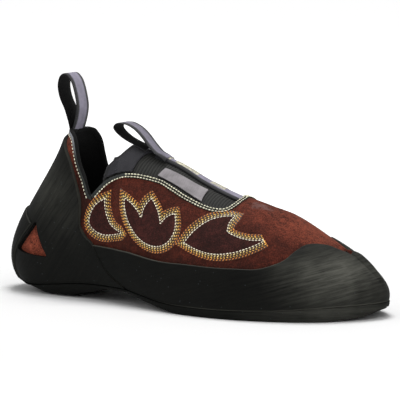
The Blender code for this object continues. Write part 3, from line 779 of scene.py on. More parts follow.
def webbing_material(name, colour, edge_colour):
    """Woven polyester tape: ribs across it, a soft sheen and black selvedges."""
    sizes = bpy.context.scene.slipper_sizes
    made, tree, shader = new_material(name)
    where = add_node(tree, "ShaderNodeUVMap", uv_map="UVMap")
    # Weft ribs 0.8 mm apart along the tape and warp ends 0.9 mm apart across it
    weft = add_node(
        tree, "ShaderNodeTexWave",
        {"Vector": where, "Scale": 1 / 0.0008 / (2 * math.pi) * 2, "Distortion": 0.4},
        bands_direction="X")
    warp = add_node(
        tree, "ShaderNodeTexWave",
        {"Vector": where, "Scale": 1 / 0.0009 / (2 * math.pi) * 2, "Distortion": 0.4},
        bands_direction="Y")
    weave = add_node(
        tree, "ShaderNodeMath", {0: weft.outputs["Fac"], 1: warp.outputs["Fac"]}, operation="MULTIPLY")
    solid = add_node(tree, "ShaderNodeTexCoord").outputs["Object"]
    patch = add_node(tree, "ShaderNodeTexNoise", {"Vector": solid, "Scale": 150.0, "Detail": 3.0})
    level = add_node(tree, "ShaderNodeMath", {0: weave, 1: 0.55, 2: patch}, operation="MULTIPLY_ADD")
    ramp = add_node(tree, "ShaderNodeValToRGB", {"Fac": level})
    fill_ramp(ramp, [(0.3, darker(colour, 0.6)), (0.85, darker(colour, 1.25))])
    rim = add_node(tree, "ShaderNodeAttribute", attribute_name="rim")
    side = add_node(tree, "ShaderNodeMapRange", {
        "Value": rim.outputs["Fac"], "From Min": sizes.selvedge * 0.8, "From Max": sizes.selvedge * 1.2,
        "To Min": 1.0, "To Max": 0.0})
    paint = add_node(tree, "ShaderNodeMix", {0: side, 6: ramp, 7: edge_colour}, data_type="RGBA")
    bump = add_node(tree, "ShaderNodeBump", {"Height": weave, "Strength": 0.6, "Distance": 0.0003})
    feed(tree, shader, {
        "Base Color": paint.outputs[2], "Normal": bump, "Roughness": 0.78, "Sheen Weight": 0.25,
        "Sheen Roughness": 0.4})
    return made


def tape_material(name, colour, high=None):
    """Grosgrain binding or dark lining: tight ribs, hardly any gloss, perhaps with painted light high up."""
    made, tree, shader = new_material(name)
    where = add_node(tree, "ShaderNodeTexCoord").outputs["Object"]
    # Ribs and knit of about 0.9 mm
    knit = add_node(tree, "ShaderNodeTexVoronoi", {"Vector": where, "Scale": 1100.0})
    patch = add_node(tree, "ShaderNodeTexNoise", {"Vector": where, "Scale": 200.0, "Detail": 3.0})
    level = add_node(
        tree, "ShaderNodeMath", {0: knit.outputs["Distance"], 1: 0.5, 2: patch}, operation="MULTIPLY_ADD")
    ramp = add_node(tree, "ShaderNodeValToRGB", {"Fac": level})
    fill_ramp(ramp, [(0.35, darker(colour, 0.65)), (0.95, darker(colour, 1.4))])
    paint = ramp
    # Painted light: towards the top the colour turns to the given lighter one, as if lit from above
    if high:
        place = add_node(tree, "ShaderNodeSeparateXYZ", {0: where})
        up = add_node(
            tree, "ShaderNodeMapRange", {"Value": place.outputs[2], "From Min": 0.091, "From Max": 0.103})
        paint = add_node(
            tree, "ShaderNodeMix", {0: up, 6: paint, 7: high}, data_type="RGBA").outputs[2]
    bump = add_node(
        tree, "ShaderNodeBump", {"Height": knit.outputs["Distance"], "Strength": 0.5, "Distance": 0.0003})
    feed(tree, shader, {
        "Base Color": paint, "Normal": bump, "Roughness": 0.9, "Specular IOR Level": 0.3})
    return made


def elastic_material():
    """Covered elastic: ribs of matt yarn, with painted shade in the valleys."""
    colour = tuple(bpy.context.scene.slipper_colours.elastic)
    made, tree, shader = new_material("ribbed_covered_elastic")
    rib = add_node(tree, "ShaderNodeAttribute", attribute_name="rib")
    where = add_node(tree, "ShaderNodeTexCoord").outputs["Object"]
    yarn = add_node(tree, "ShaderNodeTexNoise", {"Vector": where, "Scale": 900.0, "Detail": 3.0})
    # Painted shade: the lower the rib, the darker the yarn
    level = add_node(
        tree, "ShaderNodeMath", {0: yarn, 1: 0.5, 2: rib.outputs["Fac"]}, operation="MULTIPLY_ADD")
    ramp = add_node(tree, "ShaderNodeValToRGB", {"Fac": level})
    fill_ramp(ramp, [(0.2, darker(colour, 0.25)), (1.0, darker(colour, 1.7))])
    bump = add_node(tree, "ShaderNodeBump", {"Height": yarn, "Strength": 0.5, "Distance": 0.0003})
    feed(tree, shader, {"Base Color": ramp, "Normal": bump, "Roughness": 0.85})
    return made


def thread_material(name, colour):
    """Twisted polyester thread: a satin strand, a little uneven in tone."""
    made, tree, shader = new_material(name)
    where = add_node(tree, "ShaderNodeTexCoord").outputs["Object"]
    tone = add_node(tree, "ShaderNodeTexNoise", {"Vector": where, "Scale": 500.0, "Detail": 2.0})
    ramp = add_node(tree, "ShaderNodeValToRGB", {"Fac": tone})
    fill_ramp(ramp, [(0.32, darker(colour, 0.70)), (0.66, darker(colour, 1.30))])
    feed(tree, shader, {"Base Color": ramp, "Roughness": 0.5, "Sheen Weight": 0.15})
    return made


def cached(name, build):
    """The named material, made the first time it is asked for."""
    return bpy.data.materials.get(name) or build()


def lining_material():
    """Black knit behind the suede and on the backs of tapes."""
    return cached("black_knit_lining", lambda: tape_material("black_knit_lining", linear("#050505")))


def new_group(name, made, sockets):
    """Geometry node group with named inputs and one output, and the sockets of its inputs."""
    tree = bpy.data.node_groups.new(name, "GeometryNodeTree")
    for label, kind in sockets.items():
        tree.interface.new_socket(name=label, in_out="INPUT", socket_type="NodeSocket" + kind)
    tree.interface.new_socket(name=made, in_out="OUTPUT", socket_type="NodeSocketGeometry")
    return tree, tree.nodes.new("NodeGroupInput").outputs


def stitch_tree():
    """Geometry nodes: thread stitches laid end to end along paths that carry their normals."""
    tree, given = new_group("stitches_along_a_path", "Stitches", {
        "Path": "Geometry", "Pitch": "Float", "Length": "Float", "Width": "Float", "Height": "Float",
        "Slant": "Float", "Unevenness": "Float", "Seed": "Int", "Thread": "Material"})
    line = add_node(tree, "GeometryNodeMeshToCurve", {"Mesh": given["Path"]})
    line = add_node(
        tree, "GeometryNodeResampleCurve", {"Curve": line, "Length": given["Pitch"]}, mode="LENGTH")
    out = add_node(tree, "GeometryNodeInputNamedAttribute", {"Name": "out"}, data_type="FLOAT_VECTOR")
    way = add_node(tree, "GeometryNodeInputTangent")
    stand = add_node(tree, "FunctionNodeAlignRotationToVector", {"Vector": out}, axis="Z")
    lie = add_node(
        tree, "FunctionNodeAlignRotationToVector",
        {"Rotation": stand, "Vector": way}, axis="X", pivot_axis="Z")
    spread = add_node(tree, "ShaderNodeMath", {0: given["Unevenness"], 1: 0.35}, operation="MULTIPLY")
    less = add_node(tree, "ShaderNodeMath", {0: given["Slant"], 1: spread}, operation="SUBTRACT")
    more = add_node(tree, "ShaderNodeMath", {0: given["Slant"], 1: spread}, operation="ADD")
    angle = add_node(
        tree, "FunctionNodeRandomValue", {2: less, 3: more, "Seed": given["Seed"]},
        data_type="FLOAT")
    slant = add_node(
        tree, "FunctionNodeAxisAngleToRotation", {"Axis": (0.0, 0.0, 1.0), "Angle": angle.outputs[1]})
    lie = add_node(
        tree, "FunctionNodeRotateRotation", {"Rotation": lie, "Rotate By": slant},
        rotation_space="LOCAL")
    half = add_node(tree, "ShaderNodeCombineXYZ", {0: given["Length"], 1: given["Width"], 2: given["Height"]})
    half = add_node(tree, "ShaderNodeVectorMath", {0: half, "Scale": 0.5}, operation="SCALE")
    bead = add_node(tree, "GeometryNodeMeshUVSphere", {"Segments": 6, "Rings": 4, "Radius": 1.0})
    bead = add_node(tree, "GeometryNodeTransform", {"Geometry": bead, "Scale": half})
    small = add_node(tree, "ShaderNodeMath", {0: 1.0, 1: given["Unevenness"]}, operation="SUBTRACT")
    large = add_node(tree, "ShaderNodeMath", {0: 1.0, 1: given["Unevenness"]}, operation="ADD")
    size = add_node(
        tree, "FunctionNodeRandomValue", {2: small, 3: large, "Seed": given["Seed"]},
        data_type="FLOAT")
    laid = add_node(tree, "GeometryNodeInstanceOnPoints", {
        "Points": line, "Instance": bead, "Rotation": lie, "Scale": size.outputs[1]})
    real = add_node(tree, "GeometryNodeRealizeInstances", {"Geometry": laid})
    soft = add_node(tree, "GeometryNodeSetShadeSmooth", {"Geometry": real})
    dyed = add_node(tree, "GeometryNodeSetMaterial", {"Geometry": soft, "Material": given["Thread"]})
    add_node(tree, "NodeGroupOutput", {0: dyed})
    return tree


def rib_tree():
    """Geometry nodes: raises even ribs across a cloth that carries its length and normals."""
    tree, given = new_group("ribs_across_a_cloth", "Ribbed", {
        "Cloth": "Geometry", "Pitch": "Float", "Height": "Float", "Elastic": "Material"})
    along = add_node(tree, "GeometryNodeInputNamedAttribute", {"Name": "along"}, data_type="FLOAT")
    out = add_node(tree, "GeometryNodeInputNamedAttribute", {"Name": "out"}, data_type="FLOAT_VECTOR")
    count = add_node(tree, "ShaderNodeMath", {0: along, 1: given["Pitch"]}, operation="DIVIDE")
    turn = add_node(tree, "ShaderNodeMath", {0: count, 1: 2 * math.pi}, operation="MULTIPLY")
    wave = add_node(tree, "ShaderNodeMath", {0: turn}, operation="COSINE")
    share = add_node(tree, "ShaderNodeMath", {0: wave, 1: 0.5, 2: 0.5}, operation="MULTIPLY_ADD")
    share = add_node(tree, "ShaderNodeMath", {0: share, 1: 0.6}, operation="POWER")
    rise = add_node(tree, "ShaderNodeMath", {0: share, 1: given["Height"]}, operation="MULTIPLY")
    move = add_node(tree, "ShaderNodeVectorMath", {0: out, "Scale": rise}, operation="SCALE")
    raised = add_node(tree, "GeometryNodeSetPosition", {"Geometry": given["Cloth"], "Offset": move})
    kept = add_node(
        tree, "GeometryNodeStoreNamedAttribute",
        {"Geometry": raised, "Name": "rib", "Value": share}, data_type="FLOAT", domain="POINT")
    real = add_node(tree, "GeometryNodeRealizeInstances", {"Geometry": kept})
    dyed = add_node(tree, "GeometryNodeSetMaterial", {"Geometry": real, "Material": given["Elastic"]})
    add_node(tree, "NodeGroupOutput", {0: dyed})
    return tree


def evaluated(thing):
    """Plain mesh of an object with its modifiers."""
    bpy.context.view_layer.update()
    graph = bpy.context.evaluated_depsgraph_get()
    return bpy.data.meshes.new_from_object(thing.evaluated_get(graph), depsgraph=graph)


def grow(name, carrier, tree, values):
    """Runs a tree on the carrier's mesh and keeps the result as a plain mesh object."""
    modifier = carrier.modifiers.new("grow", "NODES")
    modifier.node_group = tree
    for item in tree.interface.items_tree:
        if item.item_type == "SOCKET" and item.in_out == "INPUT" and item.name in values:
            modifier[item.identifier] = values[item.name]
    mesh = evaluated(carrier)
    if len(mesh.polygons) == 0:
        raise RuntimeError(name + " came out empty")
    bpy.data.objects.remove(carrier, do_unlink=True)
    mesh.name = name
    return put_object(name, mesh)


def sew(name, paths, thread, pitch, length, width, height, slant=0.0, uneven=0.08, seed=1):
    """Rows of stitches along paths, each a pair of its points and their normals."""
    points = []
    normals = []
    edges = []
    for line, out in paths:
        base = len(points)
        points += line.tolist()
        normals += out.tolist()
        edges += [(base + k, base + k + 1) for k in range(len(line) - 1)]
    mesh = bpy.data.meshes.new(name + "_path")
    mesh.from_pydata(points, edges, [])
    layer = mesh.attributes.new("out", "FLOAT_VECTOR", "POINT")
    layer.data.foreach_set("vector", np.asarray(normals, float).ravel())
    carrier = put_object(name + "_path", mesh)
    values = {
        "Pitch": pitch, "Length": length, "Width": width, "Height": height, "Slant": slant,
        "Unevenness": uneven, "Seed": seed, "Thread": thread}
    return grow(name, carrier, bpy.data.node_groups.get("stitches_along_a_path") or stitch_tree(), values)


def edge_path(rows, mirror, steps):
    """Places along the upper's rim between two of its outline's rows."""
    u = np.linspace(rows[0], rows[1], steps)
    c, t = lay(UPPER_INNER_EDGE if mirror else UPPER_EDGE, u, [1.0])
    c = c[:, 0]
    t = t[:, 0]
    return (ROUND - c if mirror else c), t


def rim_loop(rows, steps):
    """Places along the rim of both sides, outer one first, meeting in the middle."""
    s, t = edge_path(rows, False, steps)
    far_s, far_t = edge_path(rows, True, steps)
    if rows[0] == 0.0:
        s = np.concatenate([far_s[::-1], s[1:]])
        t = np.concatenate([far_t[::-1], t[1:]])
    else:
        s = np.concatenate([s, far_s[::-1][1:]])
        t = np.concatenate([t, far_t[::-1][1:]])
    return s, t


def tube_faces(count, size):
    """Faces round a tube of so many rings of so many points, and its two ends."""
    faces = []
    for low in range(0, (count - 1) * size, size):
        for k in range(size):
            n = (k + 1) % size
            faces.append([low + k, low + n, low + size + n, low + size + k])
    return faces + [list(range(size)), [(count - 1) * size + k for k in range(size)][::-1]]


def inward_way(s, t):
    """Unit direction on the surface, square to the rim, into the upper."""
    line = wrap(s, t, 0.0)
    tangent = np.gradient(line, axis=0)
    tangent /= np.linalg.norm(tangent, axis=1, keepdims=True)
    out = outward(s, t)
    way = np.cross(out, tangent)
    way /= np.linalg.norm(way, axis=1, keepdims=True)
    rising = np.where(way[:, 2] > 0, -1.0, 1.0)
    return way * (-1.0 if np.mean(rising) < 0 else 1.0)


def beside(s, t, way, distance):
    """Places at a distance from the rim, measured along the surface."""
    s2, t2 = nudge(s, t, way * distance)
    return s2, np.clip(t2, 0.0, 1.0)


def bind(name, s, t, way, section, materials, inside):
    """Tape folded over the rim. A section point is mm into the upper and mm out.

    From the point numbered inside on, the tape takes its second material.
    """
    rings = []
    for into, out in section:
        s2, t2 = beside(s, t, way, into / 1000)
        rings.append(wrap(s2, t2, out / 1000 + (relief(s2, t2) if out > -0.5 else 0)))
    rings = np.stack(rings, 1)
    count, size = rings.shape[:2]
    kinds = [int(k >= inside) for k in range(size)] * (count - 1) + [0, 0]
    return put_mesh(name, rings.reshape(-1, 3), tube_faces(count, size), materials, kinds, angle=60)


def on_suede(s, t, lift):
    """Points over the suede, with their normals."""
    return wrap(s, t, relief(s, t) + lift), outward(s, t)


CHART_LINE = np.linspace(2.0, 9.6, 305)
CHART_WAY = skin(CHART_LINE, np.full(305, CHART_T))
CHART_ALONG = travelled(CHART_WAY)
CHART_ALONG -= np.interp(CHART_POST, CHART_LINE, CHART_ALONG)
CHART_UP = np.linspace(-0.02, 0.075, 96)


def chart_heights():
    """Height t for each step up from the chart's base line, one row for each of its posts."""
    t = np.linspace(0.1, 1.0, 181)
    rows = []
    for c in CHART_LINE:
        line = skin(np.full(181, c), t)
        up = travelled(line)
        up -= np.interp(CHART_T, t, up)
        rows.append(np.interp(CHART_UP, up, t))
    return np.array(rows)


CHART_TABLE = chart_heights()


def chart(a, b):
    """Post and height of a point a metres forward and b metres up on the outer side."""
    i = np.interp(a, CHART_ALONG, np.arange(len(CHART_LINE)))
    j = np.interp(b, CHART_UP, np.arange(len(CHART_UP)))
    i0 = np.clip(np.floor(i).astype(int), 0, len(CHART_LINE) - 2)
    j0 = np.clip(np.floor(j).astype(int), 0, len(CHART_UP) - 2)
    fi = i - i0
    fj = j - j0
    low = CHART_TABLE[i0, j0] * (1 - fi) + CHART_TABLE[i0 + 1, j0] * fi
    high = CHART_TABLE[i0, j0 + 1] * (1 - fi) + CHART_TABLE[i0 + 1, j0 + 1] * fi
    c = np.interp(a, CHART_ALONG, CHART_LINE)
    return c, low * (1 - fj) + high * fj


def arc_points(knots, step):
    """Even points on a smooth curve through knots, in mm, the last one left off."""
    knots = np.array(knots, float)
    span = np.linalg.norm(np.diff(knots, axis=0), axis=1)
    place = np.concatenate([[0], np.cumsum(span)])
    slope = np.gradient(knots, place, axis=0, edge_order=2 if len(knots) > 2 else 1)
    fine = np.linspace(0, place[-1], 200)
    i = np.clip(np.searchsorted(place, fine, side="right") - 1, 0, len(knots) - 2)
    h = span[i][:, None]
    t = ((fine - place[i]) / span[i])[:, None]
    curve = (knots[i] * (1 + 2 * t) + h * slope[i] * t) * (1 - t) ** 2
    curve += (knots[i + 1] * (3 - 2 * t) + h * slope[i + 1] * (t - 1)) * t * t
    run = travelled(curve)
    count = max(4, int(round(run[-1] / step)))
    even = np.linspace(0, run[-1], count + 1)[:-1]
    return np.stack([np.interp(even, run, curve[:, 0]), np.interp(even, run, curve[:, 1])], 1)


def leaf_outline(leaf):
    """Closed outline of a leaf in mm, counter-clockwise."""
    line = np.concatenate([arc_points(knots, 0.7) for knots in leaf])
    ahead = np.roll(line, -1, 0)
    area = (line[:, 0] * ahead[:, 1] - ahead[:, 0] * line[:, 1]).sum()
    return line if area > 0 else line[::-1]


def echo(line, distance):
    """The outline again at a distance outside it, in mm, cleared of its crossings."""
    before = line - np.roll(line, 1, 0)
    after = np.roll(line, -1, 0) - line
    n1 = np.stack([before[:, 1], -before[:, 0]], 1)
    n2 = np.stack([after[:, 1], -after[:, 0]], 1)
    n1 /= np.linalg.norm(n1, axis=1, keepdims=True)
    n2 /= np.linalg.norm(n2, axis=1, keepdims=True)
    both = n1 + n2
    miter = both / np.maximum((both * both).sum(1, keepdims=True) / 2, 0.45)
    moved = line + miter * distance
    fine = np.concatenate([line + (np.roll(line, -1, 0) - line) * k for k in (0, 0.25, 0.5, 0.75)])
    gap = np.sqrt(((moved[:, None] - fine[None]) ** 2).sum(2)).min(1)
    return moved[gap > distance * 0.93]


def inside_outline(points, line):
    """Whether points are inside a closed outline."""
    x, y = points[:, 0], points[:, 1]
    hit = np.zeros(len(points), bool)
    for p, q in zip(line, np.roll(line, -1, 0)):
        cross = (p[1] > y) != (q[1] > y)
        at = p[0] + (y - p[1]) / (q[1] - p[1] + 1e-12) * (q[0] - p[0])
        hit ^= cross & (x < at)
    return hit


def patch_solid(name, outlines, lift, sink, material):
    """Thin patches with the given outlines, in chart mm, laid on the suede."""
    points = []
    faces = []
    for line in outlines:
        low = line.min(0)
        high = line.max(0)
        xs, ys = np.meshgrid(np.arange(low[0] + 0.8, high[0], 1.6), np.arange(low[1] + 0.8, high[1], 1.6))
        inner = np.stack([xs.ravel(), ys.ravel()], 1)
        inner = inner[inside_outline(inner, line)]
        gap = np.sqrt(((inner[:, None] - line[None]) ** 2).sum(2)).min(1)
        inner = inner[gap > 0.8]
        flat = [Vector(p) for p in np.concatenate([line, inner]).tolist()]
        found = delaunay_2d_cdt(flat, [], [list(range(len(line)))], 1, 1e-5)
        base = len(points)
        points += [tuple(p) for p in found[0]]
        faces += [[base + q for q in face] for face in found[2]]
    points = np.array(points)
    s, t = chart(points[:, 0] / 1000, points[:, 1] / 1000)
    bumps = relief(s, t)
    outside = wrap(s, t, bumps + lift)
    inside = wrap(s, t, bumps - sink)
    back, walls = turned(faces, len(points))
    return put_mesh(name, np.concatenate([outside, inside]), faces + back + walls, [material], angle=50)


def blot(points, spots):
    """Soft spots of strength, each a place and a radius in metres."""
    total = np.zeros(points.shape[:-1])
    for place, radius, strength in spots:
        gap = np.linalg.norm(points - np.array(place), axis=-1)
        total += strength * np.exp(-(gap / radius) ** 2)
    return np.clip(total, 0, 1)


class SLIPPER_OT_upper(bpy.types.Operator):
    """Suede upper with its lining, soft creases, paler rubbed and painted-light spots, and painted shade"""

    bl_idname = "slipper.upper"
    bl_label = "Suede upper"

    def execute(self, context):
        colour = tuple(context.scene.slipper_colours.suede)
        suede = suede_material("brushed_split_suede", colour, linear("#9c4c36"))
        patches = []
        for _, c, s, t, here in halves((UPPER_EDGE, UPPER_INNER_EDGE), 221, 38):
            # Paler spots, partly rubbed nap and partly painted light: on the toe's top, at the heel corner
            # and in the heel window
            wear_and_light = blot(here, [
                ((0.172, -0.010, 0.066), 0.018, 0.7), ((0.190, -0.016, 0.052), 0.011, 0.75),
                ((0.145, -0.008, 0.074), 0.018, 0.4), ((0.185, 0.010, 0.050), 0.016, 0.6),
                ((0.005, -0.020, 0.092), 0.012, 0.8), ((-0.005, -0.028, 0.032), 0.019, 1.0)])
            scuff = blot(
                here, [((0.140, -0.006, 0.0672), 0.0075, 1.0), ((0.149, -0.004, 0.0652), 0.006, 0.9)])
            # Painted shade: a darker band low on the sides just above the rand, forward of the heel band, and
            # on the strip beside the notch
            low = np.exp(-((t - 0.30) / 0.07) ** 2) * 0.35 * np.clip((c - 3.0) / 0.3, 0, 1)
            strip = np.exp(-((c - 2.95) / 0.38) ** 2) * np.clip((t - 0.5) / 0.05, 0, 1)
            shade = np.clip(low + strip, 0, 0.8)
            patches.append((s, t, -UPPER_WALL, relief(s, t), {"wear_and_light": wear_and_light, "scuff": scuff, "shade": shade}))
        piece = shell("suede_upper", patches, [suede, lining_material()])
        settle(calm(piece, 26), "suede", "upper")
        return {"FINISHED"}


class SLIPPER_OT_bindings(bpy.types.Operator):
    """Bindings of the throat and the ankle, with their rows of pale stitches"""

    bl_idname = "slipper.bindings"
    bl_label = "Bindings and their stitches"

    def execute(self, context):
        sizes = context.scene.slipper_sizes
        thread = thread_material("pale_bonded_thread", tuple(context.scene.slipper_colours.seam_thread))
        black = tape_material("black_grosgrain_binding", linear("#1c1e1a"))
        # The grey binding turns light grey towards the top: painted light
        grey = tape_material("grey_grosgrain_binding", linear("#2c2f2d"), linear("#8a8c90"))
        wide = sizes.binding_width * 1000
        s, t = rim_loop(THROAT_ROWS, 170)
        way = inward_way(s, t)
        # Across the tape: mm into the upper from its rim, and mm out of the suede
        section = [
            (wide, -0.3), (wide, 0.30), (wide - 0.25, 0.50), (wide / 2, 0.56), (0.4, 0.52), (-0.1, 0.30),
            (-0.4, -0.2), (-0.5, -0.9), (-0.4, -1.6), (-0.1, -2.0), (0.5, -2.25), (2.4, -2.2), (2.6, -1.2)]
        turn = int(169 * (GREY_ROW - THROAT_ROWS[0]) / (THROAT_ROWS[1] - THROAT_ROWS[0]))
        middle = slice(turn, len(s) - turn)
        piece = bind("throat_binding", s[middle], t[middle], way[middle], section, [black], len(section))
        settle(piece, "webbing")
        for label, part in (("outer", slice(0, turn + 1)), ("inner", slice(len(s) - turn - 1, None))):
            slim = [(min(into, 2.1), out) for into, out in section]
            piece = bind(
                "notch_binding_" + label, s[part], t[part], way[part], slim, [grey, lining_material()], 6)
            settle(piece, "webbing")
        paths = []
        for into, part in ((0.55, middle), (2.35, slice(5, -5))):
            s2, t2 = beside(s[part], t[part], way[part], into / 1000)
            paths.append(on_suede(s2, t2, 0.00055))
        pitch = sizes.seam_pitch
        piece = sew("throat_stitches", paths, thread, pitch, pitch * 0.88, 0.0009, 0.0007, seed=3)
        settle(piece, "webbing")

        wide = sizes.collar_width * 1000
        s, t = rim_loop(COLLAR_ROWS, 120)
        way = inward_way(s, t)
        section = [
            (wide, -0.3), (wide, 0.28), (wide - 0.3, 0.48), (wide / 2, 0.55), (0.4, 0.50), (-0.2, 0.25),
            (-0.5, -0.2), (-0.6, -0.9), (-0.5, -1.6), (-0.2, -2.1), (0.5, -2.35), (2.6, -2.3), (2.8, -1.2)]
        piece = bind("collar_binding", s, t, way, section, [grey, lining_material()], 4)
        settle(piece, "webbing")
        s2, t2 = beside(s, t, way, (wide + 0.5) / 1000)
        paths = [on_suede(s2[4:-4], t2[4:-4], 0.0002)]
        piece = sew("collar_stitches", paths, thread, pitch * 1.15, pitch * 0.88, 0.00095, 0.0007, seed=4)
        settle(piece, "webbing")
        return {"FINISHED"}


class SLIPPER_OT_leaves(bpy.types.Operator):
    """Stitched leaves on the outer side: dark suede inside rows of coloured thread"""

    bl_idname = "slipper.leaves"
    bl_label = "Stitched leaves"

    def execute(self, context):
        sizes = context.scene.slipper_sizes
        colour = tuple(context.scene.slipper_colours.applique)
        dark = suede_material("dark_applique_suede", colour, linear("#4a2220"))
        outlines = [leaf_outline(leaf) for leaf in LEAVES]
        settle(patch_solid("applique_leaves", outlines, 0.00030, 0.00030, dark), "suede")
        gap = sizes.row_gap * 1000
        ground = thread_material("orange_underlay_thread", linear("#40200c"))
        bands = [echo(line, gap * 3.4) for line in outlines]
        settle(patch_solid("underlay_leaves", bands, 0.00012, 0.00030, ground), "suede")
        rows = [
            ("leaf_row_cream", 0.20, "#fff6dc", 0.0, 1.1, 0.92, 5),
            ("leaf_row_yellow", 1.05, "#ffe79a", 0.6, 1.1, 0.80, 6),
            ("leaf_row_gold", 2.00, "#f6c050", -0.6, 1.1, 0.80, 7),
            ("leaf_row_orange", 2.95, "#df8a34", 0.6, 1.1, 0.80, 8),
        ]
        for name, place, tint, slant, step, long, seed in rows:
            paths = []
            for line in outlines:
                row = echo(line, max(place * gap, 0.12))
                row = np.concatenate([row, row[:1]])
                s, t = chart(row[:, 0] / 1000, row[:, 1] / 1000)
                paths.append(on_suede(s, t, 0.00030))
            thread = thread_material(name.replace("leaf_row", "satin_thread"), linear(tint))
            pitch = sizes.leaf_pitch * step
            stitch = sizes.leaf_pitch * long
            piece = sew(name, paths, thread, pitch, stitch, sizes.thread, 0.0006, slant, 0.12, seed)
            settle(piece, "suede")
        return {"FINISHED"}


class SLIPPER_OT_rands(bpy.types.Operator):
    """Rubber round the toe and the heel, the heel band's windows and the rear cap"""

    bl_idname = "slipper.rands"
    bl_label = "Rubber rands"

    def execute(self, context):
        level = rubber_material("buffed_rubber_along", (42.0, 42.0, 760.0), 17.0)
        steep = rubber_material("buffed_rubber_up", (520.0, 60.0, 40.0), -34.0)
        # Places where the rubber is painted paler, partly grey blooming and partly a painted highlight where
        # light falls on the toe and the heel, each with radius and strength
        bloom_and_highlight_spots = [
            ((0.196, -0.026, 0.030), 0.017, 0.8), ((0.178, -0.040, 0.030), 0.013, 0.4),
            ((0.206, -0.010, 0.026), 0.015, 0.6), ((0.205, 0.015, 0.030), 0.022, 0.5),
            ((-0.010, -0.026, 0.075), 0.018, 0.35), ((0.012, -0.034, 0.060), 0.018, 0.25)]

        outer_edge = [(low, 0.0, high, lateral, bow) for low, high, lateral, _, bow in TOE_RAND_EDGE]
        inner_edge = [(low, 0.0, high, medial, bow) for low, high, _, medial, bow in TOE_RAND_EDGE]
        patches = []
        for inner, c, s, t, here in halves((outer_edge, inner_edge), 221, 26):
            gap = from_rim(here)
            low = np.linalg.norm(here - here[:, :1], axis=2)
            # Over the toe the rubber is skived thin toward its rim
            front = np.clip((c - 8.2) / 0.6, 0, 1)
            far = np.clip((11 - c) / 1.2, 0, 1) * inner
            thin = 0.0013 * front * np.clip(1 - gap / (0.0055 + 0.0085 * far), 0, 1) ** 1.5
            outer = TOE_RAND_FACE - thin - rounded(gap, 0.0009) * (1 - 0.55 * front) - rounded(low, 0.0003)
            # Painted highlight: a pale line along the rand's lower edge over the seam. Along the upper rim
            # the pale line is partly the cut edge and partly painted highlight
            pale = np.exp(-(low / 0.0004) ** 2) * np.clip((here[..., 0] - 0.09) / 0.03, 0, 1)
            cut = np.exp(-(gap / 0.0004) ** 2) * (0.5 - 0.3 * front) + pale * 0.6
            patches.append((s, t, RAND_BACK, outer, {"bloom_and_highlight": blot(here, bloom_and_highlight_spots), "cut": cut}))
        settle(calm(shell("toe_rand_rubber", patches, [level]), 4), "rubber", "toe_rand")

        patches = []
        for _, _, s, t, here in halves((HEEL_RAND_EDGE, HEEL_RAND_INNER_EDGE), 169, 40):
            gap = from_rim(here)
            low = np.linalg.norm(here - here[:, :1], axis=2)
            outer = HEEL_RAND_FACE - rounded(gap, 0.0010) - rounded(low, 0.0005)
            # Pale upper rim: partly the cut edge, partly painted highlight
            cut = np.exp(-(gap / 0.00035) ** 2) * 0.2
            patches.append((s, t, RAND_BACK, outer, {"bloom_and_highlight": blot(here, bloom_and_highlight_spots), "cut": cut}))
        settle(cut_windows(shell("heel_rand_rubber", patches, [steep]), steep), "rubber", "heel_rand")

        patches = []
        for _, _, s, t, here in halves((HEEL_CAP_EDGE, HEEL_CAP_EDGE), 61, 34):
            gap = from_rim(here)
            side = np.linalg.norm(here - here[-1:], axis=2)
            outer = HEEL_CAP_FACE - rounded(gap, 0.0010) - rounded(side, 0.0009)
            # Pale rims: partly the cut edges, partly painted highlight
            cut = np.exp(-(np.minimum(gap, side) / 0.00035) ** 2) * 0.15
            patches.append((s, t, HEEL_CAP_BACK, outer, {"bloom_and_highlight": blot(here, bloom_and_highlight_spots), "cut": cut}))
        settle(shell("heel_cap_rubber", patches, [steep]), "rubber", "heel_cap")
        return {"FINISHED"}


def cut_windows(piece, material):
    """Cuts a three-cornered window with rounded corners through both sides of the heel rand."""
    for mirror in (False, True):
        corners = np.array(WINDOW)
        line = []
        for k in range(3):
            here = corners[k]
            back = corners[k - 1] - here
            ahead = corners[(k + 1) % 3] - here
            for f in np.linspace(0, 1, 7):
                start = here + back * 0.10
                end = here + ahead * 0.10
                line.append((1 - f) ** 2 * start + 2 * f * (1 - f) * here + f * f * end)
            for f in np.linspace(0.18, 0.82, 7):
                line.append(here + ahead * f)
        line = np.array(line)
        s = ROUND - line[:, 0] if mirror else line[:, 0]
        low = wrap(s, line[:, 1], -0.0012)
        high = wrap(s, line[:, 1], 0.0060)
        size = len(line)
        points = np.concatenate([low, high])
        faces = [list(range(size)), [size + k for k in range(size)][::-1]]
        faces += [[k, k + size, (k + 1) % size + size, (k + 1) % size] for k in range(size)]
        cutter = put_mesh("window_cutter", points, faces, [material], angle=30)
        cut = piece.modifiers.new("window", "BOOLEAN")
        cut.operation = "DIFFERENCE"
        cut.solver = "EXACT"
        cut.object = cutter
        mesh = evaluated(piece)
        piece.modifiers.clear()
        piece.data = mesh
        bpy.data.objects.remove(cutter, do_unlink=True)
    piece.data.shade_smooth()
    piece.data.set_sharp_from_angle(angle=math.radians(38))
    return piece


def seam_ring(c, inset, height):
    """Points of both sides of the seam line moved inward, at heights from a function of x."""
    sides = []
    for s in (c, ROUND - c):
        point, out = foot(s)
        moved = point - inset[..., None] * out
        moved[..., 2] = height(moved[..., 0])
        sides.append(moved)
    return sides


def under(x):
    """Height of the sole's underside."""
    return smooth(UNDER, 1, x / LENGTH) * HEEL_HEIGHT


def lip(x):
    """Height of the sole's upper edge: a gap under the heel band, closed under the toe's."""
    return smooth(SEAM, 1, x / LENGTH) * HEEL_HEIGHT - GAP * np.clip((0.115 - x) / 0.02, 0.1, 1)


def dish(x):
    """Height of the bed inside the sole."""
    return np.minimum(under(x) + SOLE_THICK, lip(x))


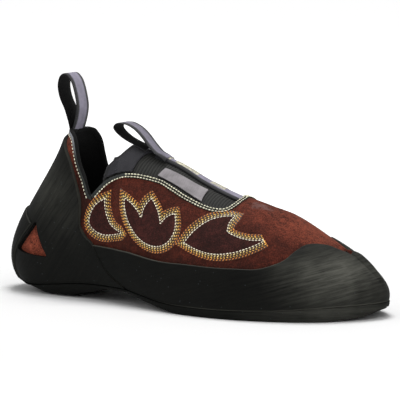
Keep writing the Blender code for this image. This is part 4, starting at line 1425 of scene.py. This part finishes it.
def slab(name, rings, low, high, material, marks=None):
    """Solid from rings of side pairs, closed below and above by strips across."""
    count = 12
    points = []
    faces = []
    rows = []
    for outer, inner in rings:
        loop = np.concatenate([outer, inner[-2:0:-1]])
        rows.append(list(range(len(points), len(points) + len(loop))))
        points.extend(loop)
    size = len(rows[0])
    for a, b in zip(rows[:-1], rows[1:]):
        for k in range(size):
            n = (k + 1) % size
            faces.append([a[k], a[n], b[n], b[k]])
    for (outer, inner), ring, height in ((rings[0], rows[0], low), (rings[-1], rows[-1], high)):
        total = len(outer)
        grid = []
        for i in range(total):
            left = ring[i]
            right = ring[(size - i) % size]
            line = [left]
            if left != right:
                for k in range(1, count):
                    mix = outer[i] + (inner[i] - outer[i]) * k / count
                    mix[2] = height(mix[0])
                    line.append(len(points))
                    points.append(mix)
            else:
                line += [left] * (count - 1)
            grid.append(line + [right])
        for i in range(total - 1):
            for k in range(count):
                quad = [grid[i][k], grid[i + 1][k], grid[i + 1][k + 1], grid[i][k + 1]]
                quad = [q for m, q in enumerate(quad) if q != quad[m - 1]]
                if len(quad) > 2:
                    faces.append(quad)
    points = np.array(points)
    given = {mark: function(points) for mark, function in (marks or {}).items()}
    return put_mesh(name, points, faces, [material], marks=given, angle=42)


class SLIPPER_OT_sole(bpy.types.Operator):
    """Rubber sole with its rounded edge, and the footbed inside"""

    bl_idname = "slipper.sole"
    bl_label = "Sole and footbed"

    def execute(self, context):
        rubber = rubber_material("moulded_sole_rubber", (30.0, 30.0, 500.0), 0.0)
        c = np.linspace(0, TOE, 12 * TOE + 1)
        one = np.ones_like(c)
        start, _ = foot(c)
        tuck = smooth(TUCK, 1, start[:, 0] / LENGTH) * BALL_WIDTH
        radius = 0.0011
        # At the back the sole comes out flush with the cap
        reach = SOLE_OUT + 0.0012 * np.clip((1.4 - c) / 0.8, 0, 1) ** 2
        rings = []
        for angle in (0, 25, 50, 70):
            back = radius * (1 - math.sin(math.radians(angle)))
            rise = radius * (1 - math.cos(math.radians(angle)))

            def bottom(x, rise=rise):
                return under(x) + rise
            rings.append(seam_ring(c, tuck - reach + back, bottom))
        bend = [(0.0, 1.0, 1.0), (0.33, 0.45, 0.86), (0.66, 0.12, 0.5), (1.0, 0.0, 0.0)]
        for place in (0.18, 0.33, 0.5, 0.66, 0.82, 0.93):
            share = float(smooth(bend, 1, place))
            drop = float(smooth(bend, 2, place))

            def wall(x, drop=drop):
                low = under(x) + radius * 0.66
                return np.maximum(lip(x) + (under(x) - lip(x)) * drop, low)
            rings.append(seam_ring(c, tuck * share - reach, wall))
        for back, fall in ((0.0, 0.0005), (0.00015, 0.0002), (0.0005, 0.0)):
            def edge(x, fall=fall):
                return lip(x) - fall
            rings.append(seam_ring(c, one * back - reach, edge))
        rings.append(seam_ring(c, one * SOLE_LIP, lip))
        rings.append(seam_ring(c, one * SOLE_DISH, dish))

        # Painted highlight with blooming near the toe of the sole
        def bloom_and_highlight(points):
            return blot(points, [((0.215, -0.02, 0.012), 0.03, 0.35), ((0.19, -0.04, 0.008), 0.03, 0.25)])
        settle(slab("sole_rubber", rings, under, dish, rubber, {"bloom_and_highlight": bloom_and_highlight}), "rubber", "outsole")

        felt = tape_material("dark_footbed_felt", linear("#1d1c1b"))

        def low(x):
            return dish(x) + GAP

        def high(x):
            return dish(x) + GAP + INSOLE_THICK
        rings = [seam_ring(c, one * INSOLE_IN, low), seam_ring(c, one * INSOLE_IN, high)]
        settle(slab("footbed_felt", rings, low, high, felt), "board", "insole")
        return {"FINISHED"}


def lay_tongue(u, f):
    """Grid over the tongue, its rear edge bowed forward near the ridge."""
    c, t = lay(TONGUE_EDGE, u, f)
    bow = np.sin(math.pi * np.clip((f - 0.42) / 0.56, 0, 1))[None, :]
    return c + 0.19 * bow * (np.clip(1 - u / 1.6, 0, 1) ** 2)[:, None], t


class SLIPPER_OT_tongue(bpy.types.Operator):
    """Ribbed elastic over the instep, the tape across its top and the blank side label"""

    bl_idname = "slipper.tongue"
    bl_label = "Elastic tongue, tape and label"

    def execute(self, context):
        sizes = context.scene.slipper_sizes
        elastic = elastic_material()
        base = TONGUE_FACE
        u = np.linspace(0, len(TONGUE_EDGE) - 1, 421)
        c, t = lay_tongue(u, np.linspace(0, 1, 25))
        along = travelled(skin(c, t)[:, 16])
        patches = []
        for s in (c, ROUND - c):
            out = outward(s, t)
            marks = {"along": along[:, None] + 0 * s, "out": out}
            patches.append((s, t, base - 0.0013, base - 0.0003, marks))
        carrier = shell("ribbed_tongue_cloth", patches, [elastic])
        flat = len(carrier.data.vertices) // 2
        layer = carrier.data.attributes["out"]
        values = np.zeros(len(carrier.data.vertices) * 3)
        layer.data.foreach_get("vector", values)
        values[flat * 3:] = 0
        layer.data.foreach_set("vector", values)
        piece = grow("ribbed_tongue", carrier, rib_tree(), {
            "Pitch": sizes.rib_pitch, "Height": sizes.rib_height, "Elastic": elastic})
        piece.data.shade_smooth()
        settle(piece, "elastic", "tongue")

        tape = webbing_material("tongue_tape_weave", linear("#201f26"), linear("#0c0c10"))
        u = np.linspace(0, 2.0, 41)
        c, t = lay_tongue(u, np.linspace(2 / 9, 1, 31))
        patches = []
        for s in (c, ROUND - c):
            here = skin(s, t)
            run = travelled(here)
            rim = np.minimum(run + 0.0004, run[-1:] - run + 0.0040)
            height = from_rim(here)
            marks = {"rim": rim, "uv": np.stack([height, run], -1)}
            face = base + 0.0015 - rounded(np.minimum(run, run[-1:] - run), 0.0004)
            patches.append((s, t, base + 0.0003, face, marks))
        settle(shell("tongue_tape", patches, [tape]), "webbing", "tongue_band")

        satin = webbing_material("blank_label_satin", linear("#959093"), linear("#959093"))
        u = np.linspace(0, 1, 41)
        c, t = lay(LABEL_EDGE, u, np.linspace(0, 1, 17))
        here = skin(c, t)
        run = travelled(here)
        height = from_rim(here)
        sag = 0.0003 * np.sin(np.linspace(0, math.pi, 41))[:, None]
        marks = {"rim": 0.01 + 0 * c, "uv": np.stack([run, height], -1)}
        patch = (c, t, base + 0.0002, base + 0.00115 - sag, marks)
        settle(shell("blank_side_label", [patch], [satin]), "label", "side_label")
        return {"FINISHED"}


def ribbon(name, line, across, width, materials, start, end):
    """Tape bent along a line in the upright plane, rounded at its edges, with a dark inner face.

    Start and end say how far the tape's edges bend over, in mm along and up, at its two ends.
    """
    steps = 150
    numbered = [(i,) + tuple(row) for i, row in enumerate(line)]
    u = np.linspace(0, len(line) - 1, steps + 1)
    x = smooth(numbered, 1, u) * LENGTH
    z = smooth(numbered, 2, u) * HEEL_HEIGHT
    for _ in range(3):
        x[1:-1] = (x[:-2] + 2 * x[1:-1] + x[2:]) / 4
        z[1:-1] = (z[:-2] + 2 * z[1:-1] + z[2:]) / 4
    dx = np.gradient(x)
    dz = np.gradient(z)
    size = np.hypot(dx, dz)
    run = np.concatenate([[0], np.cumsum(np.hypot(np.diff(x), np.diff(z)))])
    half = width / 2
    thick = WEB_THICK / 2
    side = np.linspace(-1, 1, 17)
    crown = thick * (0.35 + 0.65 * np.sqrt(np.maximum(1 - side ** 8, 0)))
    section = [(half * v, thick * 0.15 * v * v + h) for v, h in zip(side, crown)]
    section += [(half * v, thick * 0.15 * v * v - h) for v, h in zip(side[::-1], crown[::-1])]
    count = len(section)
    points = []
    marks = []
    uv = []
    share = np.linspace(0, 1, steps + 1)
    first = np.clip(1 - share / 0.2, 0, 1) ** 2
    final = np.clip((share - 0.8) / 0.2, 0, 1) ** 2
    bend_x = (first * start[0] + final * end[0]) / 1000
    bend_z = (first * start[1] + final * end[1]) / 1000
    for k in range(steps + 1):
        for wide, high in section:
            shift = high / size[k]
            over = (wide / half) ** 2
            points.append((
                x[k] - dz[k] * shift + over * bend_x[k],
                across + wide,
                z[k] + dx[k] * shift + over * bend_z[k]))
            marks.append(half - abs(wide))
            uv.append((run[k], wide))
    kinds = [int(len(side) <= j < count - 1) for j in range(count)] * steps + [0, 0]
    faces = tube_faces(steps + 1, count)
    return put_mesh(name, points, faces, materials, kinds, {"rim": marks}, uv, angle=50)


class SLIPPER_OT_webbing(bpy.types.Operator):
    """Instep strap and the two pull loops"""

    bl_idname = "slipper.webbing"
    bl_label = "Strap and pull loops"

    def execute(self, context):
        colours = context.scene.slipper_colours
        weave = webbing_material("lilac_grey_webbing", tuple(colours.webbing), linear("#0d0d12"))
        # Painted light and shade: the strap takes a lighter copy of the webbing and the front loop a darker
        # copy
        pale = webbing_material("lit_lilac_webbing", darker(tuple(colours.webbing), 1.1), linear("#0d0d12"))
        shaded_webbing = webbing_material("shaded_lilac_webbing", darker(tuple(colours.webbing), 0.75), linear("#0d0d12"))
        inner = lining_material()
        piece = ribbon("heel_loop_webbing", HEEL_LOOP, 0.0, WEB_WIDTH, [weave, inner], (1.2, 0.0), (1.2, 0.0))
        settle(piece, "webbing", "heel_pull_loop")
        piece = ribbon(
            "front_loop_webbing", FRONT_LOOP, 0.01 * BALL_WIDTH, WEB_WIDTH * 0.85, [shaded_webbing, inner],
            (0.0, -1.5), (0.0, -2.0))
        settle(piece, "webbing", "front_pull_loop")

        base = TONGUE_FACE
        u = np.linspace(0, len(STRAP_EDGE) - 1, 121)
        c, t = lay(STRAP_EDGE, u, np.linspace(0, 1, 15) ** 0.9)
        patches = []
        for s in (c, ROUND - c):
            here = skin(s, t)
            run = travelled(here, 1)
            ahead = travelled(here[:, -1])[:, None]
            # Only the strap's lower edge turns black: its rim mark runs up from that edge alone
            marks = {"rim": run * 0.95, "uv": np.stack([ahead + 0 * s, run], -1)}
            duck = 0.0009 * np.clip((c - 7.30) / 0.16, 0, 1)
            outer = base + 0.0015 - rounded(run, 0.0004) - duck
            patches.append((s, t, base + 0.0001, outer, marks))
        settle(shell("strap_webbing", patches, [pale]), "webbing", "instep_strap")
        name = "pale_bonded_thread"
        thread = cached(name, lambda: thread_material(name, tuple(colours.seam_thread)))
        paths = []
        for start, end in ((5.30, 5.52), (5.72, 6.30), (6.62, 6.92)):
            c = np.linspace(start, end, 12)
            for t in (0.962, 0.982):
                for s in (c, ROUND - c):
                    paths.append((wrap(s, t + 0 * s, base + 0.0016), outward(s, t + 0 * s)))
        piece = sew("strap_tacks", paths, thread, 0.0010, 0.0017, 0.0007, 0.0005, 0.9, 0.15, seed=9)
        settle(piece, "webbing")
        return {"FINISHED"}


class SLIPPER_OT_stage(bpy.types.Operator):
    """Pale floor, soft lamps and the camera"""

    bl_idname = "slipper.stage"
    bl_label = "Floor, lamps and camera"

    def execute(self, context):
        scene = context.scene
        scene.view_settings.view_transform = "Standard"
        made, tree, shader = new_material("pale_paper_floor")
        # Away from the shoe the lamps fall off, so the paper glows to stay white
        where = add_node(tree, "ShaderNodeTexCoord").outputs["Object"]
        away = add_node(tree, "ShaderNodeVectorMath", {0: where, 1: (-0.09, 0.0, 0.0)}, operation="ADD")
        away = add_node(tree, "ShaderNodeVectorMath", {0: away}, operation="LENGTH")
        glow = add_node(tree, "ShaderNodeMapRange", {
            "Value": away.outputs["Value"], "From Min": 0.22, "From Max": 0.7, "To Max": 0.6})
        feed(tree, shader, {
            "Base Color": linear("#f9f9f9"), "Roughness": 0.9, "Specular IOR Level": 0.1,
            "Emission Color": linear("#ffffff"), "Emission Strength": glow})
        mesh = bpy.data.meshes.new("pale_floor")
        size = 30.0
        corners = [(-size, -size, 0), (size, -size, 0), (size, size, 0), (-size, size, 0)]
        mesh.from_pydata(corners, [], [[0, 1, 2, 3]])
        mesh.materials.append(made)
        put_object("pale_floor", mesh)

        world = bpy.data.worlds.new("white_studio")
        world.use_nodes = True
        sky = world.node_tree.nodes["Background"]
        sky.inputs["Color"].default_value = (1.0, 1.0, 1.0, 1.0)
        sky.inputs["Strength"].default_value = 0.42
        scene.world = world

        middle = Vector((0.09, 0.0, 0.04))
        lamps = [
            ("top_softbox", (0.0, 0.20, 1.25), 0.5, 9.8),
            ("key_softbox", (0.70, -0.55, 1.15), 0.6, 2.5),
            ("side_softbox", (-0.75, -0.85, 0.60), 0.6, 1.2),
        ]
        for name, place, wide, power in lamps:
            lamp = bpy.data.lights.new(name, "AREA")
            lamp.shape = "SQUARE"
            lamp.size = wide
            lamp.energy = power
            holder = put_object(name, lamp)
            way = middle - Vector(place)
            holder.matrix_world = (
                Matrix.Translation(place) @ way.to_track_quat("-Z", "Y").to_matrix().to_4x4())

        azimuth = 0.4712272581
        elevation = 0.1410785697
        distance = 1.5052261
        roll = -0.012270856
        focal = 2343.87
        flat = math.cos(elevation)
        back = Vector((math.sin(azimuth) * flat, -math.cos(azimuth) * flat, math.sin(elevation)))
        level = Vector((math.cos(azimuth), math.sin(azimuth), 0.0))
        rise = back.cross(level)
        right = level * math.cos(roll) - rise * math.sin(roll)
        up = level * math.sin(roll) + rise * math.cos(roll)
        place = Vector((0.095, 0.0, 0.045)) + back * distance
        # The frame's middle lies off the aimed point, so the camera is turned to it instead of shifted
        picture = 400
        middle_x, middle_y = 195.246, 232.937
        ahead = -back + right * ((picture / 2 - middle_x) / focal) + up * ((middle_y - picture / 2) / focal)
        back = -ahead.normalized()
        right = (right - back * right.dot(back)).normalized()
        up = back.cross(right)
        camera = bpy.data.cameras.new("photo_camera")
        camera.sensor_width = 36.0
        camera.lens = focal / picture * camera.sensor_width
        camera.clip_start = 0.05
        holder = put_object("photo_camera", camera)
        turn = Matrix((right, up, back)).transposed().to_4x4()
        holder.matrix_world = Matrix.Translation(place) @ turn
        scene.camera = holder
        return {"FINISHED"}


class SLIPPER_PT_panel(bpy.types.Panel):
    """Sizes, colours and builders of the slipper"""

    bl_idname = "SLIPPER_PT_panel"
    bl_label = "Climbing slipper"
    bl_space_type = "VIEW_3D"
    bl_region_type = "UI"
    bl_category = "Slipper"

    def draw(self, context):
        for group in (context.scene.slipper_sizes, context.scene.slipper_colours):
            for name in group.bl_rna.properties.keys():
                if name not in ("rna_type", "name"):
                    self.layout.prop(group, name)
        for operator in OPERATORS:
            self.layout.operator(operator.bl_idname)


OPERATORS = [
    SLIPPER_OT_upper,
    SLIPPER_OT_bindings,
    SLIPPER_OT_leaves,
    SLIPPER_OT_rands,
    SLIPPER_OT_sole,
    SLIPPER_OT_tongue,
    SLIPPER_OT_webbing,
    SLIPPER_OT_stage,
]
CLASSES = [SlipperSizes, SlipperColours] + OPERATORS + [SLIPPER_PT_panel]


def register():
    for item in CLASSES:
        bpy.utils.register_class(item)
    bpy.types.Scene.slipper_sizes = bpy.props.PointerProperty(type=SlipperSizes)
    bpy.types.Scene.slipper_colours = bpy.props.PointerProperty(type=SlipperColours)


def unregister():
    del bpy.types.Scene.slipper_colours
    del bpy.types.Scene.slipper_sizes
    for item in reversed(CLASSES):
        bpy.utils.unregister_class(item)


def main():
    """Builds every piece in order."""
    register()
    bpy.ops.slipper.upper()
    bpy.ops.slipper.bindings()
    bpy.ops.slipper.leaves()
    bpy.ops.slipper.rands()
    bpy.ops.slipper.sole()
    bpy.ops.slipper.tongue()
    bpy.ops.slipper.webbing()
    bpy.ops.slipper.stage()


if __name__ == "__main__":
    main()
